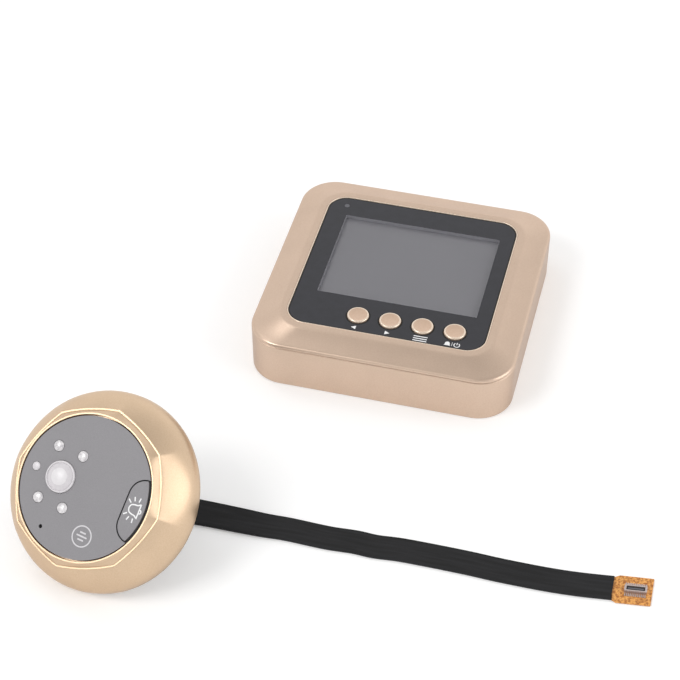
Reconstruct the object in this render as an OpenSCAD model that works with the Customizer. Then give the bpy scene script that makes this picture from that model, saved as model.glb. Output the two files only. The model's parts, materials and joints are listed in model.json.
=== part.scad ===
// Peephole door camera: an indoor monitor lying on its back, and an outdoor
// camera unit that leans on its rear rim and its two mounting posts, with its
// ribbon cable laid out in front of the monitor.
// Origin: middle of the monitor's back face. +X to the right of the screen,
// +Y to the top of the screen, +Z out of the screen.

/* [Monitor case] */
// Width of the monitor, across the screen
mon_w = 80.5; // [79:0.5:92]
// Height of the monitor's front, bottom edge to top edge
mon_d = 79; // [78:0.5:92]
// Radius of the upright corners
mon_r = 11; // [9:0.5:13]
// Wall of the case
wall_t = 1.8; // [1.4:0.1:2.2]
// Floor of the rear case
floor_t = 2; // [1.8:0.1:2.6]
// How far the back face draws in from the seam's outline
draft = 0.1; // [0:0.1:0.8]
// Rounding along the back edges
back_round = 0.5; // [0.5:0.1:1.4]
// Rounding of the two edges beside the seam
seam_round = 0.4; // [0.2:0.1:0.6]
// Open gap of the seam between bezel and rear case
seam_gap = 0.3; // [0.1:0.05:0.5]
// Rise of the bezel from the seam to the panel's face
bezel_rise = 3; // [2.4:0.1:3.1]
// Height of the bezel's lip above the panel
lip_h = 0.2; // [0.1:0.05:0.5]
// Flat rim of the bezel round the panel
rim_w = 2.7; // [1.8:0.1:3]
// Distance of the case screws from the outer walls
screw_inset = 7.2; // [6.8:0.1:8]
// Radius of the case screws' shanks
case_screw_r = 1.1; // [0.9:0.1:1.3]
// Height where the bezel's screw bosses meet the rear case's tubes
boss_z = 5; // [4:0.5:7]

/* [Front panel and display] */
// Black border of the front panel beside the window, on average
panel_side = 5.4; // [5.3:0.1:6.8]
// Black border of the front panel above and below the window, on average
panel_end = 11.35; // [11.25:0.05:12.4]
// Corner radius of the front panel
panel_r = 5.8; // [4:0.2:7]
// Thickness of the front panel
panel_t = 1.2; // [1:0.1:1.6]
// Width of the clear window
window_w = 49.4; // [46:0.2:50.4]
// Height of the clear window
window_d = 36.5; // [34:0.2:38]
// Middle of the window, to the right of the panel's middle
window_x = 0.9; // [0:0.1:1.4]
// Middle of the window, above the panel's middle
window_y = 3.2; // [2.6:0.1:4]
// Border of the display module beside the window
lcd_side = 5.4; // [4:0.1:6.2]
// Border of the display module above and below the window
lcd_end = 3.05; // [2.2:0.05:3.3]
// Thickness of the display's glass
glass_t = 0.9; // [0.7:0.1:1.2]
// Thickness of the display's backlight tray
light_t = 1.3; // [1:0.1:1.8]
// Thickness of the foam between panel and display
foam_t = 1.3; // [1.2:0.1:1.6]

/* [Monitor buttons] */
// Radius of a button's cap
cap_r = 3.3; // [2.8:0.1:3.5]
// Height of a button's cap above the panel
cap_rise = 0.7; // [0.6:0.1:1.2]
// Distance between neighbouring buttons
key_pitch = 9.87; // [9.4:0.01:10.2]
// Middle of the button row, to the right of the panel's middle
key_mid_x = 5.8; // [5:0.1:6.6]
// Distance of the button row below the window
key_below = 7.95; // [7.6:0.05:8.6]
// Travel of a button
key_travel = 0.5; // [0.3:0.1:0.6]
// Height of a tact switch with its plunger
switch_h = 4.2; // [3.8:0.1:5]

/* [Battery bay] */
// Diameter of a cell
cell_dia = 10.5; // [10:0.1:10.7]
// Length of a cell with its nub
cell_len = 44.5; // [43:0.5:45]
// Thickness of the battery door
door_t = 1.4; // [1.3:0.1:1.6]
// Thickness of the bay's ceiling
ceil_t = 0.7; // [0.6:0.1:1]

/* [Outdoor unit] */
// Radius of the round shell
unit_r = 27.75; // [27:0.25:31]
// Straight band at the rear of the shell
band_h = 2; // [1.6:0.1:3]
// Height of the face plate's front above the band
dome_h = 12.3; // [12:0.1:14]
// Depth of the eight-sided ridge behind the face plate's front
ridge_drop = 2; // [1.6:0.1:2.4]
// Radius of the grey face plate
face_r = 19.4; // [18.8:0.1:19.8]
// How far the corners of the eight-sided ridge lie outside the face plate
ridge_w = 3; // [2.6:0.1:3.4]
// Thickness of the face plate
face_t = 2.2; // [2:0.1:2.4]
// Thickness of the back cover
cover_t = 2; // [1.8:0.1:2.6]
// Thickness of the foam gasket against the door
gasket_t = 1; // [0.6:0.1:1.5]
// Length of the mounting posts behind the rear rim
post_len = 14.5; // [12:0.5:16]
// Radius of a mounting post
post_r = 2.5; // [2.3:0.1:3]
// Radius of the tapped hole in a mounting post
post_bore_r = 1.25; // [1:0.05:1.6]
// Depth of the tapped hole in a mounting post
post_bore_len = 10; // [6:0.5:11]
// Distance between the two mounting posts
post_gap = 14; // [13:0.5:16]
// Distance of the posts below the middle of the unit
post_drop = 8; // [7.6:0.1:9]

/* [Camera face] */
// Middle of the lens, from the left edge of the face
lens_in = 11.6; // [11.4:0.1:12.4]
// Radius of the front lens
lens_r = 4.4; // [3.8:0.1:4.6]
// Distance of the lamps from the lens's middle
lamp_orbit = 8.45; // [8:0.05:9]
// Radius of an infrared lamp
lamp_r = 1.5; // [1.2:0.1:1.7]
// Radius of the light sensor
sensor_r = 1.2; // [1:0.1:1.5]
// Radius of the microphone's hole
mic_hole_r = 0.55; // [0.4:0.05:0.8]
// Width of the bell button, to the right edge of the face
bell_w = 6.5; // [6.4:0.1:7.4]
// Half the height of the bell button
bell_half = 8.5; // [8:0.1:9.4]
// Corner radius of the bell button
bell_r = 4.5; // [3.5:0.1:5.5]
// Travel of the bell button
bell_travel = 0.6; // [0.4:0.1:0.7]

/* [Ribbon] */
// Width of the ribbon cable
ribbon_w = 8.2; // [7:0.1:9]
// Thickness of the ribbon cable
ribbon_t = 0.9; // [0.6:0.1:0.9]
// Length of the bare tail at the ribbon's end
tail_len = 10.8; // [9:0.1:13]
// Width of the bare tail
tail_w = 9.6; // [8.8:0.1:11]
// Length of the plug on the tail
plug_l = 6.2; // [5:0.1:8]

/* [Hidden] */
$fn = 48;

// Clearances: a snug seat, a loose guide, the overlap of joined shapes, how far
// a cut runs past a face, and a length that runs out of the case
snug = 0.1;
loose = 0.3;
bite = 0.5;
over = 1;
far = 200;

// Thin slices that hulls are stretched over, and the steps of an eased edge
slice_h = 0.02;
hull_sides = 32;
ease_angles = [0:30:90];

// Monitor levels, from the table up
door_z = snug;
cell_r = cell_dia / 2;
cell_z = door_z + door_t + 2 * snug + cell_r;
bay_top = cell_z + cell_r + snug;
ceil_z = bay_top + ceil_t;
lcd_z = ceil_z + snug;
lcd_top = lcd_z + light_t + glass_t;
ledge_z = lcd_top + snug;
panel_z = lcd_top + foam_t;
panel_top = panel_z + panel_t;
rim_z = panel_top + lip_h;
seam_z = panel_top - bezel_rise;

// Front panel and display module round the window
panel_w = window_w + 2 * panel_side;
panel_d = window_d + 2 * panel_end;
lcd_w = window_w + 2 * lcd_side;
lcd_d = window_d + 2 * lcd_end;

// Bezel: ledge under the panel, tongue inside the rear case, rib round the pocket
ledge_w = 1.2;
tongue_t = 1.2;
tongue_h = 1.5;
rib_t = 1.4;
skin_t = 1.4;
boss_r = 2.6;
crease_w = panel_w + 2 * rim_w;
crease_d = panel_d + 2 * rim_w;
crease_r = panel_r + rim_w;

// Case screws at the four corners
screw_x = mon_w / 2 - screw_inset;
screw_y = mon_d / 2 - screw_inset;
head_r = 2 * case_screw_r;
head_h = 1.5;
head_z = 2.6;
tube_t = 1.2;
tube_r = head_r + tube_t;
screw_grip = 8;
screw_top = boss_z + screw_grip;
pilot_spare = 0.5;

// Display, its foam frame and its flex
lcd_left = 1.5;
lcd_x = window_x - lcd_left;
lcd_y = window_y;
glass_inset = 0.8;
foam_in = 1.2;
foam_side = panel_side - window_x - ledge_w - foam_in - loose;
foam_end = 1.2;
foam_w = window_w + 2 * (foam_in + foam_side);
foam_d = window_d + 2 * (foam_in + foam_end);
flex_w = 10;
flex_t = 0.3;
flex_y = -7;
flex_out = 1.6;
flex_tab = 4;

// Buttons, their flanges under the panel, and the switches on the main board
key_xs = [for (i = [-1.5:1:1.5]) key_mid_x + i * key_pitch];
key_drop = window_d / 2 - window_y + key_below;
cap_top = panel_top + cap_rise;
cap_edge = 0.4;
flange_w = 0.9;
flange_r = cap_r + flange_w;
flange_t = 0.8;
flange_z = panel_z - 2 * snug - flange_t;
stem_r = 1.6;
stem_h = 0.2;
stem_z = flange_z - stem_h;
plunger_r = 1.7;
plunger_h = 0.7;
switch_w = 6;
board_t = 1.6;
board_top = stem_z - key_travel - snug - switch_h;
board_z = board_top - board_t;

// Status light in the panel's upper left
light_in_x = 5.4;
light_in_y = 3.7;
light_x = -panel_w / 2 + light_in_x;
light_y = panel_d / 2 - light_in_y;
light_r = 0.8;
light_collar_r = 1.6;
light_collar = 0.8;

// Battery bay in the upper half, its cells side by side, its door in the back
bay_wall = 1.2;
cell_gap = 0.4;
cell_pitch = cell_dia + cell_gap;
cell_count = 3;
contact_gap = 3;
contact_t = 0.4;
contact_h = 8;
contact_side = 1;
spring_tip = 0.8;
spring_flare = 1;
bay_w = cell_len + 2 * contact_gap;
bay_d = cell_count * cell_pitch + snug;
bay_edge = 0.6;
bay_y = mon_d / 2 - wall_t - bay_edge - bay_d;
cell_ys = [for (i = [0:cell_count - 1]) bay_y + (i + 0.5) * cell_pitch];
nub_r = 2.6;
nub_h = 1.2;
door_w = bay_w - 4 * snug;
tongue_reach = 1.2;
tongue_up = 0.5;
tongue_z = door_z + tongue_up;
door_tongue_t = 0.6;
grip_w = 16;
grip_count = 3;
grip_edge = 6;
grip_pitch = 2.4;
grip_groove = 1;
grip_deep = 0.4;

// Main board in the lower half, with its posts, socket, window and speaker
board_gap = 1.2;
board_side = 2.5;
board_w = mon_w - 2 * (wall_t + board_side);
board_y = -mon_d / 2 + wall_t + tongue_t + board_gap;
board_d = bay_y - bay_wall - board_gap - board_y;
board_post_in = 5;
post_xs = [-board_w / 2 + board_post_in, board_w / 2 - board_post_in];
board_post_y = board_y + board_d / 2;
board_post_r = 2.4;
board_screw_r = 0.9;
board_screw_len = 6;
board_head_r = 1.8;
board_head_h = 1;
socket_x = 14;
socket_y = -20;
socket_w = 7;
socket_d = 3.4;
socket_h = 1.2;
socket_end = 0.6;
socket_side = 0.8;
well_w = 17;
well_d = 12;
well_wall = 1.2;
speaker_x = -16;
speaker_y = -20;
speaker_r = 9;
speaker_h = 4;
magnet_r = 5.4;
speaker_rim = 1.2;
slot_count = 5;
slot_pitch = 2.6;
slot_w = 1.2;
slot_l = 11;

// Keyholes beside the battery bay, on which the monitor hangs
hanger_x = 33;
hanger_y = 9;
hanger_r = 3.5;
hanger_neck_r = 1.9;
hanger_rise = 7;

// Outdoor unit: it stands on the rear rim and on the posts' lower edges
rim_chamfer = 0.5;
turn = 15.7;
unit_x = -58.5;
unit_y = -108.5;
rim_r = unit_r - rim_chamfer;
lean = atan(post_len / (rim_r - post_drop - post_r));
unit_z = rim_r * sin(lean);
back_dir = [-sin(lean) * sin(-turn), sin(lean) * cos(turn), -cos(lean)];
across_dir = [cos(turn), -sin(turn), 0];
up_dir = cross(-back_dir, across_dir);
function unit_point(p) =
  [unit_x, unit_y, unit_z] + p.x * across_dir + p.y * up_dir - p.z * back_dir;

// Shell: eight flats at the ridge that fade to a circle at the band
face_z = band_h + dome_h;
ridge_z = face_z - ridge_drop;
ridge_r = face_r + ridge_w;
swell = 4.2;
ridge_round = 0.49;
fade = 3;
lip_rise = 0.15;
lip_t = 0.2;
shell_steps = 72;
dome_steps = 9;
face_gap = 0.35;
pocket_r = face_r + face_gap;
seat_z = face_z - face_t;
seat_t = 1.6;
seat_w = 2.1;
seat_r = face_r - seat_w;

// Back cover, its screws and pillars, the gasket behind it
cover_z = 0.2;
cover_top = cover_z + cover_t;
band_t = 2.75;
cover_r = unit_r - band_t;
cover_step = 0.6;
cavity_low_r = cover_r - cover_step;
cavity_flare = 3.5;
cavity_top_r = seat_r + cavity_flare;
cover_screw_in = 3;
cover_screw_orbit = cover_r - cover_screw_in;
cover_screw_angles = [90, 210, 330];
cover_screw_r = 1;
cover_boss_r = 2.7;
cover_boss_top = 9;
cover_head_r = 2;
cover_head_h = 1.2;
cover_screw_len = 6;
gasket_edge = 0.6;
gasket_out_r = cover_r - gasket_edge;
gasket_in_r = 15.5;
post_flange_w = 1;
post_flange_r = post_r + post_flange_w;
post_flange_t = 1;

// Camera board inside the unit, with what stands on it
cam_board_stand = 2.3;
cam_board_z = cover_top + cam_board_stand;
cam_board_t = 1.6;
cam_board_top = cam_board_z + cam_board_t;
cam_board_r = cover_screw_orbit - cover_boss_r - loose;
pillar_in = 2.5;
pillar_orbit = cam_board_r - pillar_in;
pillar_angles = [45, 135, 250];
pillar_r = 1.4;
lens_left = face_r - lens_in;
lamp_angles = [62, 118, 242, 298];
sensor_orbit = 8;
lead_r = 0.25;
lead_gap = 1.2;
lamp_body = 4.6;
lamp_rise = 0.5;
lens_rise = 1.3;
lens_brim = 1;
lens_brim_t = 1;
seal_t = 0.7;
barrel_r = 3.6;
barrel_base = 10;
barrel_neck = 1.3;
chip_w = 6;
chip_h = 1;
mic_in = 3.1;
mic_angle = 241.4;
mic_r = 2;
mic_inward = 1.5;
mic_h = 1.8;
bell_left = face_r - bell_w;
bell_gap = 0.35;
bell_edge = 0.3;
bell_t = face_t - bell_travel - 2 * snug;
bell_stem_in = 4.6;
bell_stem_x = face_r - bell_stem_in;
bell_stem_w = 3;
bell_plunger_top = cam_board_top + switch_h;
bell_stem_z = bell_plunger_top + bell_travel + snug;

// Gland of the ribbon in the back cover
gland_y = -1;
gland_turn = 12;
gland_t = 1;
gland_l = ribbon_w + 2 * gland_t;
gland_w = ribbon_t + 2 * gland_t;
gland_brim = 0.8;
gland_brim_t = 1.6;
header_l = 9;
header_w = 3;

// Ribbon route on the table: x, y, height of the middle, sideways tilt
ribbon_start = unit_point([0, gland_y, cover_z - gland_brim_t]);
route = [
  [ribbon_start.x, ribbon_start.y, ribbon_start.z, 40],
  [-57.9, -106.3, 13.8, 38],
  [-56.2, -102.9, 9.8, 33],
  [-53, -100, 6.2, 27],
  [-48.7, -97.7, 3.6, 20],
  [-43.6, -96.3, 1.9, 14],
  [-38, -95.7, 1.3, 10],
  [-33, -95.5, 1.1, 8],
  [-25, -95.5, 1, 6],
  [-18, -95.3, 0.7, 2],
  [-11, -94.9, 0.5, 0],
  [0, -95.2, 0.5, 0],
  [8, -94.8, 0.5, 0],
  [14, -95, 0.5, 0],
  [22, -94.4, 0.5, 0],
  [38, -94.4, 0.5, 0],
  [50, -94.8, 0.5, 0],
  [62, -94.8, 0.5, 0],
  [70, -94.4, 0.5, 0],
  [76, -93.8, 0.5, 0],
  [80.2, -93.3, 0.5, 0]
];

// Eased edges of the ribbon's section
ribbon_ease = 0.18;

// Tail and plug lie along the ribbon's last heading
tail_x = 80.2;
tail_y = -93.3;
tail_heading = 6.5;
tail_z = 0.1;
tail_t = 0.3;
tail_shoulder = 1.4;
plug_at = 6.2;
plug_w = 1.6;
plug_h = 1;
plug_end = 0.7;
plug_side = 0.4;
pad_w = 4.6;
pad_t = 0.2;

// Flat outline with four round corners
module rounded(w, d, r) {
  square([w - 2 * r, d], center = true);
  square([w, d - 2 * r], center = true);
  for (x = [-1, 1], y = [-1, 1])
    translate([x * (w / 2 - r), y * (d / 2 - r)]) circle(r);
}

// Slab with round corners between two heights
module slab(w, d, r, z0, z1) {
  translate([0, 0, z0]) linear_extrude(z1 - z0) rounded(w, d, r);
}

// Four thin corner discs that a hull is stretched over, drawn in by a margin
module outline_slice(w, d, r, margin, z) {
  for (x = [-1, 1], y = [-1, 1])
    translate([x * (w / 2 - r), y * (d / 2 - r), z])
      cylinder(r = r - margin, h = slice_h, $fn = hull_sides);
}

module mon_slice(margin, z) {
  outline_slice(mon_w, mon_d, mon_r, margin, z);
}

module at_screws() {
  for (x = [-1, 1], y = [-1, 1]) translate([x * screw_x, y * screw_y, 0]) children();
}

// Outside of the rear case: soft back edge, drafted walls, eased edge at the seam
module case_outside() {
  top = seam_z - seam_gap / 2 - slice_h;
  hull() {
    for (a = ease_angles) {
      mon_slice(draft + back_round * (1 - sin(a)), back_round * (1 - cos(a)));
      mon_slice(seam_round * (1 - cos(a)), top - seam_round * (1 - sin(a)));
    }
  }
}

// Outside of the bezel: eased edge at the seam, slope, flat rim
module bezel_outside() {
  low = seam_z + seam_gap / 2;
  hull() {
    mon_slice(0, low);
    for (a = ease_angles) mon_slice(seam_round * (1 - cos(a)), low + seam_round * sin(a));
    outline_slice(crease_w, crease_d, crease_r, 0, rim_z - slice_h);
  }
}

module front_bezel() {
  color("#d8bfab") {
    difference() {
      union() {
        bezel_outside();
        slab(mon_w - 2 * (wall_t + snug), mon_d - 2 * (wall_t + snug), mon_r - wall_t - snug,
          seam_z - tongue_h, seam_z + bite);
      }
      difference() {
        hull() {
          mon_slice(wall_t + snug + tongue_t, seam_z - tongue_h - over);
          mon_slice(wall_t + snug + tongue_t, seam_z);
          outline_slice(crease_w, crease_d, crease_r, 0, rim_z - skin_t);
        }
        slab(panel_w + 2 * rib_t, panel_d + 2 * rib_t, panel_r + rib_t, ledge_z, rim_z);
      }
      slab(panel_w + 2 * snug, panel_d + 2 * snug, panel_r + snug, panel_z, rim_z + over);
      slab(panel_w - 2 * ledge_w, panel_d - 2 * ledge_w, panel_r - ledge_w, 0, rim_z + over);
    }
    intersection() {
      difference() {
        at_screws() translate([0, 0, boss_z])
          cylinder(r = boss_r, h = rim_z - skin_t / 2 - boss_z);
        at_screws() translate([0, 0, boss_z - over])
          cylinder(r = case_screw_r + snug / 2, h = screw_top - boss_z + over + pilot_spare);
      }
      union() {
        bezel_outside();
        slab(mon_w - 2 * wall_t, mon_d - 2 * wall_t, mon_r - wall_t, 0, seam_z + bite);
      }
    }
  }
}

module rear_case() {
  color("#d5baa8")
  difference() {
    union() {
      difference() {
        case_outside();
        slab(mon_w - 2 * wall_t, mon_d - 2 * wall_t, mon_r - wall_t, floor_t, seam_z + over);
      }
      translate([-bay_w / 2 - bay_wall, bay_y - bay_wall, floor_t - bite])
        cube([bay_w + 2 * bay_wall, bay_d + bay_wall + bay_edge + bite, ceil_z - floor_t + bite]);
      at_screws() translate([0, 0, floor_t - bite])
        cylinder(r = tube_r, h = boss_z - floor_t + bite);
      for (x = post_xs)
        translate([x, board_post_y, floor_t - bite])
          cylinder(r = board_post_r, h = board_z - floor_t + bite);
      translate([socket_x - well_w / 2 - well_wall, socket_y - well_d / 2 - well_wall, floor_t - bite])
        cube([well_w + 2 * well_wall, well_d + 2 * well_wall, board_z - snug - floor_t + bite]);
      translate([speaker_x, speaker_y, floor_t - bite])
        cylinder(r = speaker_r + snug + speaker_rim, h = speaker_h / 2 + bite);
    }
    // Bay, open through the floor, and the way out for its door
    translate([-bay_w / 2, bay_y, -over]) cube([bay_w, bay_d, bay_top + over]);
    translate([-bay_w / 2, bay_y, -over]) cube([bay_w, far, door_z + door_t + snug + over]);
    translate([-bay_w / 2 - tongue_reach - snug, bay_y, tongue_z - snug])
      cube([bay_w + 2 * (tongue_reach + snug), far, door_tongue_t + 2 * snug]);
    // Ribbon window, speaker seat and its slots
    translate([socket_x - well_w / 2, socket_y - well_d / 2, -over])
      cube([well_w, well_d, board_z + over]);
    translate([speaker_x, speaker_y, floor_t]) cylinder(r = speaker_r + snug, h = speaker_h);
    for (i = [0:slot_count - 1]) let (y = speaker_y + (i - (slot_count - 1) / 2) * slot_pitch)
      translate([speaker_x - slot_l / 2, y - slot_w / 2, -over])
        cube([slot_l, slot_w, floor_t + 2 * over]);
    // Screw holes
    at_screws() translate([0, 0, -over]) {
      cylinder(r = head_r + snug, h = head_z + over);
      cylinder(r = case_screw_r + 2 * snug, h = boss_z + 2 * over);
    }
    for (x = post_xs)
      translate([x, board_post_y, board_top - board_screw_len - snug])
        cylinder(r = board_screw_r + snug / 2, h = board_screw_len);
    // Keyholes
    for (s = [-1, 1]) translate([s * hanger_x, hanger_y, -over]) {
      cylinder(r = hanger_r, h = floor_t + 2 * over);
      translate([0, hanger_rise, 0]) cylinder(r = hanger_neck_r, h = floor_t + 2 * over);
      translate([-hanger_neck_r, 0, 0]) cube([2 * hanger_neck_r, hanger_rise, floor_t + 2 * over]);
    }
  }
}

module window_panel() {
  color("#3a3a3e")
  difference() {
    slab(panel_w, panel_d, panel_r, panel_z, panel_top);
    translate([window_x - window_w / 2, window_y - window_d / 2, panel_z - over])
      cube([window_w, window_d, panel_t + 2 * over]);
    for (x = key_xs) translate([x, -key_drop, panel_z - over])
      cylinder(r = cap_r + loose, h = panel_t + 2 * over);
    translate([light_x, light_y, panel_z - over])
      cylinder(r = light_r + snug / 2, h = panel_t + 2 * over);
  }
}

module display_window() {
  color("#9a9aa0", 0.5)
    translate([window_x - window_w / 2 + snug / 2, window_y - window_d / 2 + snug / 2, panel_z])
      cube([window_w - snug, window_d - snug, panel_t]);
}

module display_foam() {
  color("#2b2b2e")
  translate([window_x - foam_w / 2, window_y - foam_d / 2, lcd_top])
  difference() {
    cube([foam_w, foam_d, foam_t]);
    translate([foam_side, foam_end, -over])
      cube([window_w + 2 * foam_in, window_d + 2 * foam_in, foam_t + 2 * over]);
  }
}

module display_glass() {
  color("#808086")
    translate([lcd_x - lcd_w / 2 + glass_inset, lcd_y - lcd_d / 2 + glass_inset, lcd_z + light_t])
      cube([lcd_w - 2 * glass_inset, lcd_d - 2 * glass_inset, glass_t]);
}

module display_backlight() {
  color("#c8ccd0")
    translate([lcd_x - lcd_w / 2, lcd_y - lcd_d / 2, lcd_z]) cube([lcd_w, lcd_d, light_t]);
}

// Flex that leaves the display's left edge, turns down and in to the main board
module display_flex() {
  left = lcd_x - lcd_w / 2;
  color("#c98a3a")
  translate([0, flex_y + flex_w / 2, 0]) rotate([90, 0, 0]) linear_extrude(flex_w)
    polygon([
      [left, lcd_z + light_t], [left, lcd_z + light_t - flex_t],
      [left - flex_out + flex_t, lcd_z + light_t - flex_t], [left - flex_out + flex_t, board_top + flex_t],
      [left + flex_tab, board_top + flex_t], [left + flex_tab, board_top],
      [left - flex_out, board_top], [left - flex_out, lcd_z + light_t]
    ]);
}

module main_board() {
  color("#1f6b3f")
  translate([0, 0, board_z]) linear_extrude(board_t)
  difference() {
    notch_r = boss_r + 2 * loose;
    translate([-board_w / 2, board_y]) square([board_w, board_d]);
    for (x = [-1, 1]) translate([x * screw_x, -screw_y]) circle(notch_r);
    for (x = [-1, 1]) translate([x * (screw_x + board_w / 2), -screw_y - board_w / 2])
      square(board_w + 2 * notch_r, center = true);
    for (x = post_xs) translate([x, board_post_y]) circle(board_screw_r + snug);
  }
}

// Tact switch standing at the origin
module tact_switch() {
  translate([-switch_w / 2, -switch_w / 2, 0]) cube([switch_w, switch_w, switch_h - plunger_h]);
  cylinder(r = plunger_r, h = switch_h);
}

module tact_switches() {
  color("#2a2a2c")
    for (x = key_xs) translate([x, -key_drop, board_top]) tact_switch();
}

// Button turned about its own axis: stem, flange under the panel, eased cap
module button(i) {
  color("#cfae8e")
  translate([key_xs[i], -key_drop, 0]) rotate_extrude()
    polygon([
      [0, stem_z], [stem_r, stem_z], [stem_r, flange_z], [flange_r, flange_z],
      [flange_r, flange_z + flange_t], [cap_r, flange_z + flange_t],
      for (a = ease_angles) [cap_r - cap_edge * (1 - cos(a)), cap_top - cap_edge * (1 - sin(a))],
      [0, cap_top]
    ]);
}

module button_left() { button(0); }
module button_right() { button(1); }
module button_menu() { button(2); }
module button_power() { button(3); }

module status_light() {
  color("#6a6a70")
  translate([light_x, light_y, panel_z - light_collar]) {
    cylinder(r = light_r, h = panel_t + light_collar);
    cylinder(r = light_collar_r, h = light_collar);
  }
}

module speaker() {
  color("#55565a")
  translate([speaker_x, speaker_y, floor_t]) {
    cylinder(r = speaker_r, h = speaker_h / 2);
    cylinder(r = magnet_r, h = speaker_h);
  }
}

module ribbon_socket() {
  color("#d8d4c8")
  translate([socket_x - socket_w / 2, socket_y - socket_d / 2, board_z - socket_h])
  difference() {
    cube([socket_w, socket_d, socket_h]);
    translate([socket_end, socket_side, -over])
      cube([socket_w - 2 * socket_end, socket_d - 2 * socket_side, over + socket_h / 2]);
  }
}

// Cells lie head to tail, the nub towards +X on every second one
module battery_cells() {
  color("#b0b4b8")
  for (i = [0:cell_count - 1])
    translate([0, cell_ys[i], cell_z]) rotate([0, 90, 180 * (i % 2)]) translate([0, 0, -cell_len / 2]) {
      cylinder(r = cell_r, h = cell_len - nub_h);
      cylinder(r = nub_r, h = cell_len);
    }
}

// Plate at each end of the bay, with a tapered spring or a dimple for each cell
module battery_contacts() {
  color("#cfcfca")
  for (s = [-1, 1]) mirror([s < 0 ? 1 : 0, 0, 0]) {
    translate([bay_w / 2 - contact_t, bay_y + contact_side, cell_z - contact_h / 2])
      cube([contact_t, bay_d - 2 * contact_side, contact_h]);
    for (i = [0:cell_count - 1])
      let (on_nub = s == (i % 2 == 0 ? 1 : -1), flare = on_nub ? 0 : spring_flare)
      translate([bay_w / 2 - contact_gap + snug, cell_ys[i], cell_z]) rotate([0, 90, 0])
        cylinder(r1 = nub_r - spring_tip, r2 = nub_r + flare, h = contact_gap - snug - contact_t / 2);
  }
}

// Door in the back: plate with a tongue along each side, cut flush with the case
module battery_door() {
  front = bay_y + 2 * snug;
  color("#cdb29f")
  difference() {
    intersection() {
      case_outside();
      union() {
        translate([-door_w / 2, front, door_z]) cube([door_w, far, door_t]);
        translate([-door_w / 2 - tongue_reach, front, tongue_z])
          cube([door_w + 2 * tongue_reach, far, door_tongue_t]);
      }
    }
    for (i = [0:grip_count - 1])
      translate([-grip_w / 2, bay_y + bay_d - grip_edge - i * grip_pitch, door_z - over])
        cube([grip_w, grip_groove, over + grip_deep]);
  }
}

module case_screws() {
  color("#8c8f94")
  at_screws() {
    translate([0, 0, head_z - head_h]) cylinder(r = head_r, h = head_h);
    translate([0, 0, head_z - bite]) cylinder(r = case_screw_r, h = screw_top - head_z + bite);
  }
}

module board_screws() {
  color("#8c8f94")
  for (x = post_xs) translate([x, board_post_y, 0]) {
    translate([0, 0, board_top]) cylinder(r = board_head_r, h = board_head_h);
    translate([0, 0, board_top - board_screw_len + bite])
      cylinder(r = board_screw_r, h = board_screw_len);
  }
}

// Places its children in the leaning outdoor unit's own frame: +Z out of the face
module in_unit() {
  translate([unit_x, unit_y, unit_z]) rotate([lean, 0, -turn]) children();
}

module around(orbit, angles) {
  for (a = angles) translate([orbit * cos(a), orbit * sin(a), 0]) children();
}

// Outline radius at an angle, from straight-sided octagon (0) to circle (1)
function soft_octagon(a, corner_r, roundness) =
  corner_r / ((1 - roundness) * cos(a % 45 - 22.5) / cos(22.5) + roundness);

// Rings of the shell's outside, from the rear rim to the lip round the face:
// corner radius, height, roundness
shell_rings = [
  [rim_r, 0, 1],
  [unit_r, rim_chamfer, 1],
  for (i = [0:dome_steps]) let (t = i / dome_steps)
    [
      unit_r - t * t * (unit_r - ridge_r),
      band_h + 2 * t * (1 - t) * swell + t * t * (ridge_z - band_h),
      1 - (1 - ridge_round) * pow(t, fade)
    ],
  [pocket_r + lip_t, face_z + lip_rise, 1]
];

module shell_outside() {
  rings = len(shell_rings);
  n = shell_steps;
  points = [
    for (q = shell_rings, i = [0:n - 1])
      let (a = 360 * i / n, r = soft_octagon(a, q[0], q[2]))
      [r * cos(a), r * sin(a), q[1]]
  ];
  sides = [
    for (k = [0:rings - 2], i = [0:n - 1]) let (j = (i + 1) % n)
      each [[k * n + i, k * n + n + j, k * n + j], [k * n + i, k * n + n + i, k * n + n + j]]
  ];
  rear = [[for (i = [0:n - 1]) i]];
  front = [[for (i = [n - 1:-1:0]) (rings - 1) * n + i]];
  polyhedron(points, concat(sides, rear, front));
}

module dome_shell() {
  color("#d3b492")
  in_unit() difference() {
    union() {
      difference() {
        shell_outside();
        rotate_extrude() polygon([
          [0, -over], [cover_r + snug, -over], [cover_r + snug, cover_top], [cavity_low_r, cover_top],
          [cavity_top_r, seat_z - seat_t], [seat_r, seat_z - seat_t], [seat_r, seat_z],
          [pocket_r, seat_z], [pocket_r, face_z + over], [0, face_z + over]
        ]);
      }
      around(cover_screw_orbit, cover_screw_angles)
        translate([0, 0, cover_top]) cylinder(r = cover_boss_r, h = cover_boss_top - cover_top);
    }
    around(cover_screw_orbit, cover_screw_angles)
      translate([0, 0, -over])
        cylinder(r = cover_screw_r + snug / 2, h = cover_screw_len + cover_head_h + 2 * over);
  }
}

// Outline of the bell button's place in the face, grown by a margin
module bell_outline(margin) {
  reach = unit_r;
  intersection() {
    translate([bell_left - margin + reach / 2, 0])
      rounded(reach, 2 * (bell_half + margin), bell_r + margin);
    circle(face_r + 2 * margin);
  }
}

module face_plate() {
  color("#9a989b")
  in_unit() translate([0, 0, seat_z]) linear_extrude(face_t)
  difference() {
    circle(face_r);
    bell_outline(bell_gap);
    translate([-lens_left, 0]) {
      circle(lens_r + snug);
      around(lamp_orbit, lamp_angles) circle(lamp_r + snug);
      around(sensor_orbit, [180]) circle(sensor_r + snug);
    }
    around(face_r - mic_in, [mic_angle]) circle(mic_hole_r);
  }
}

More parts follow.
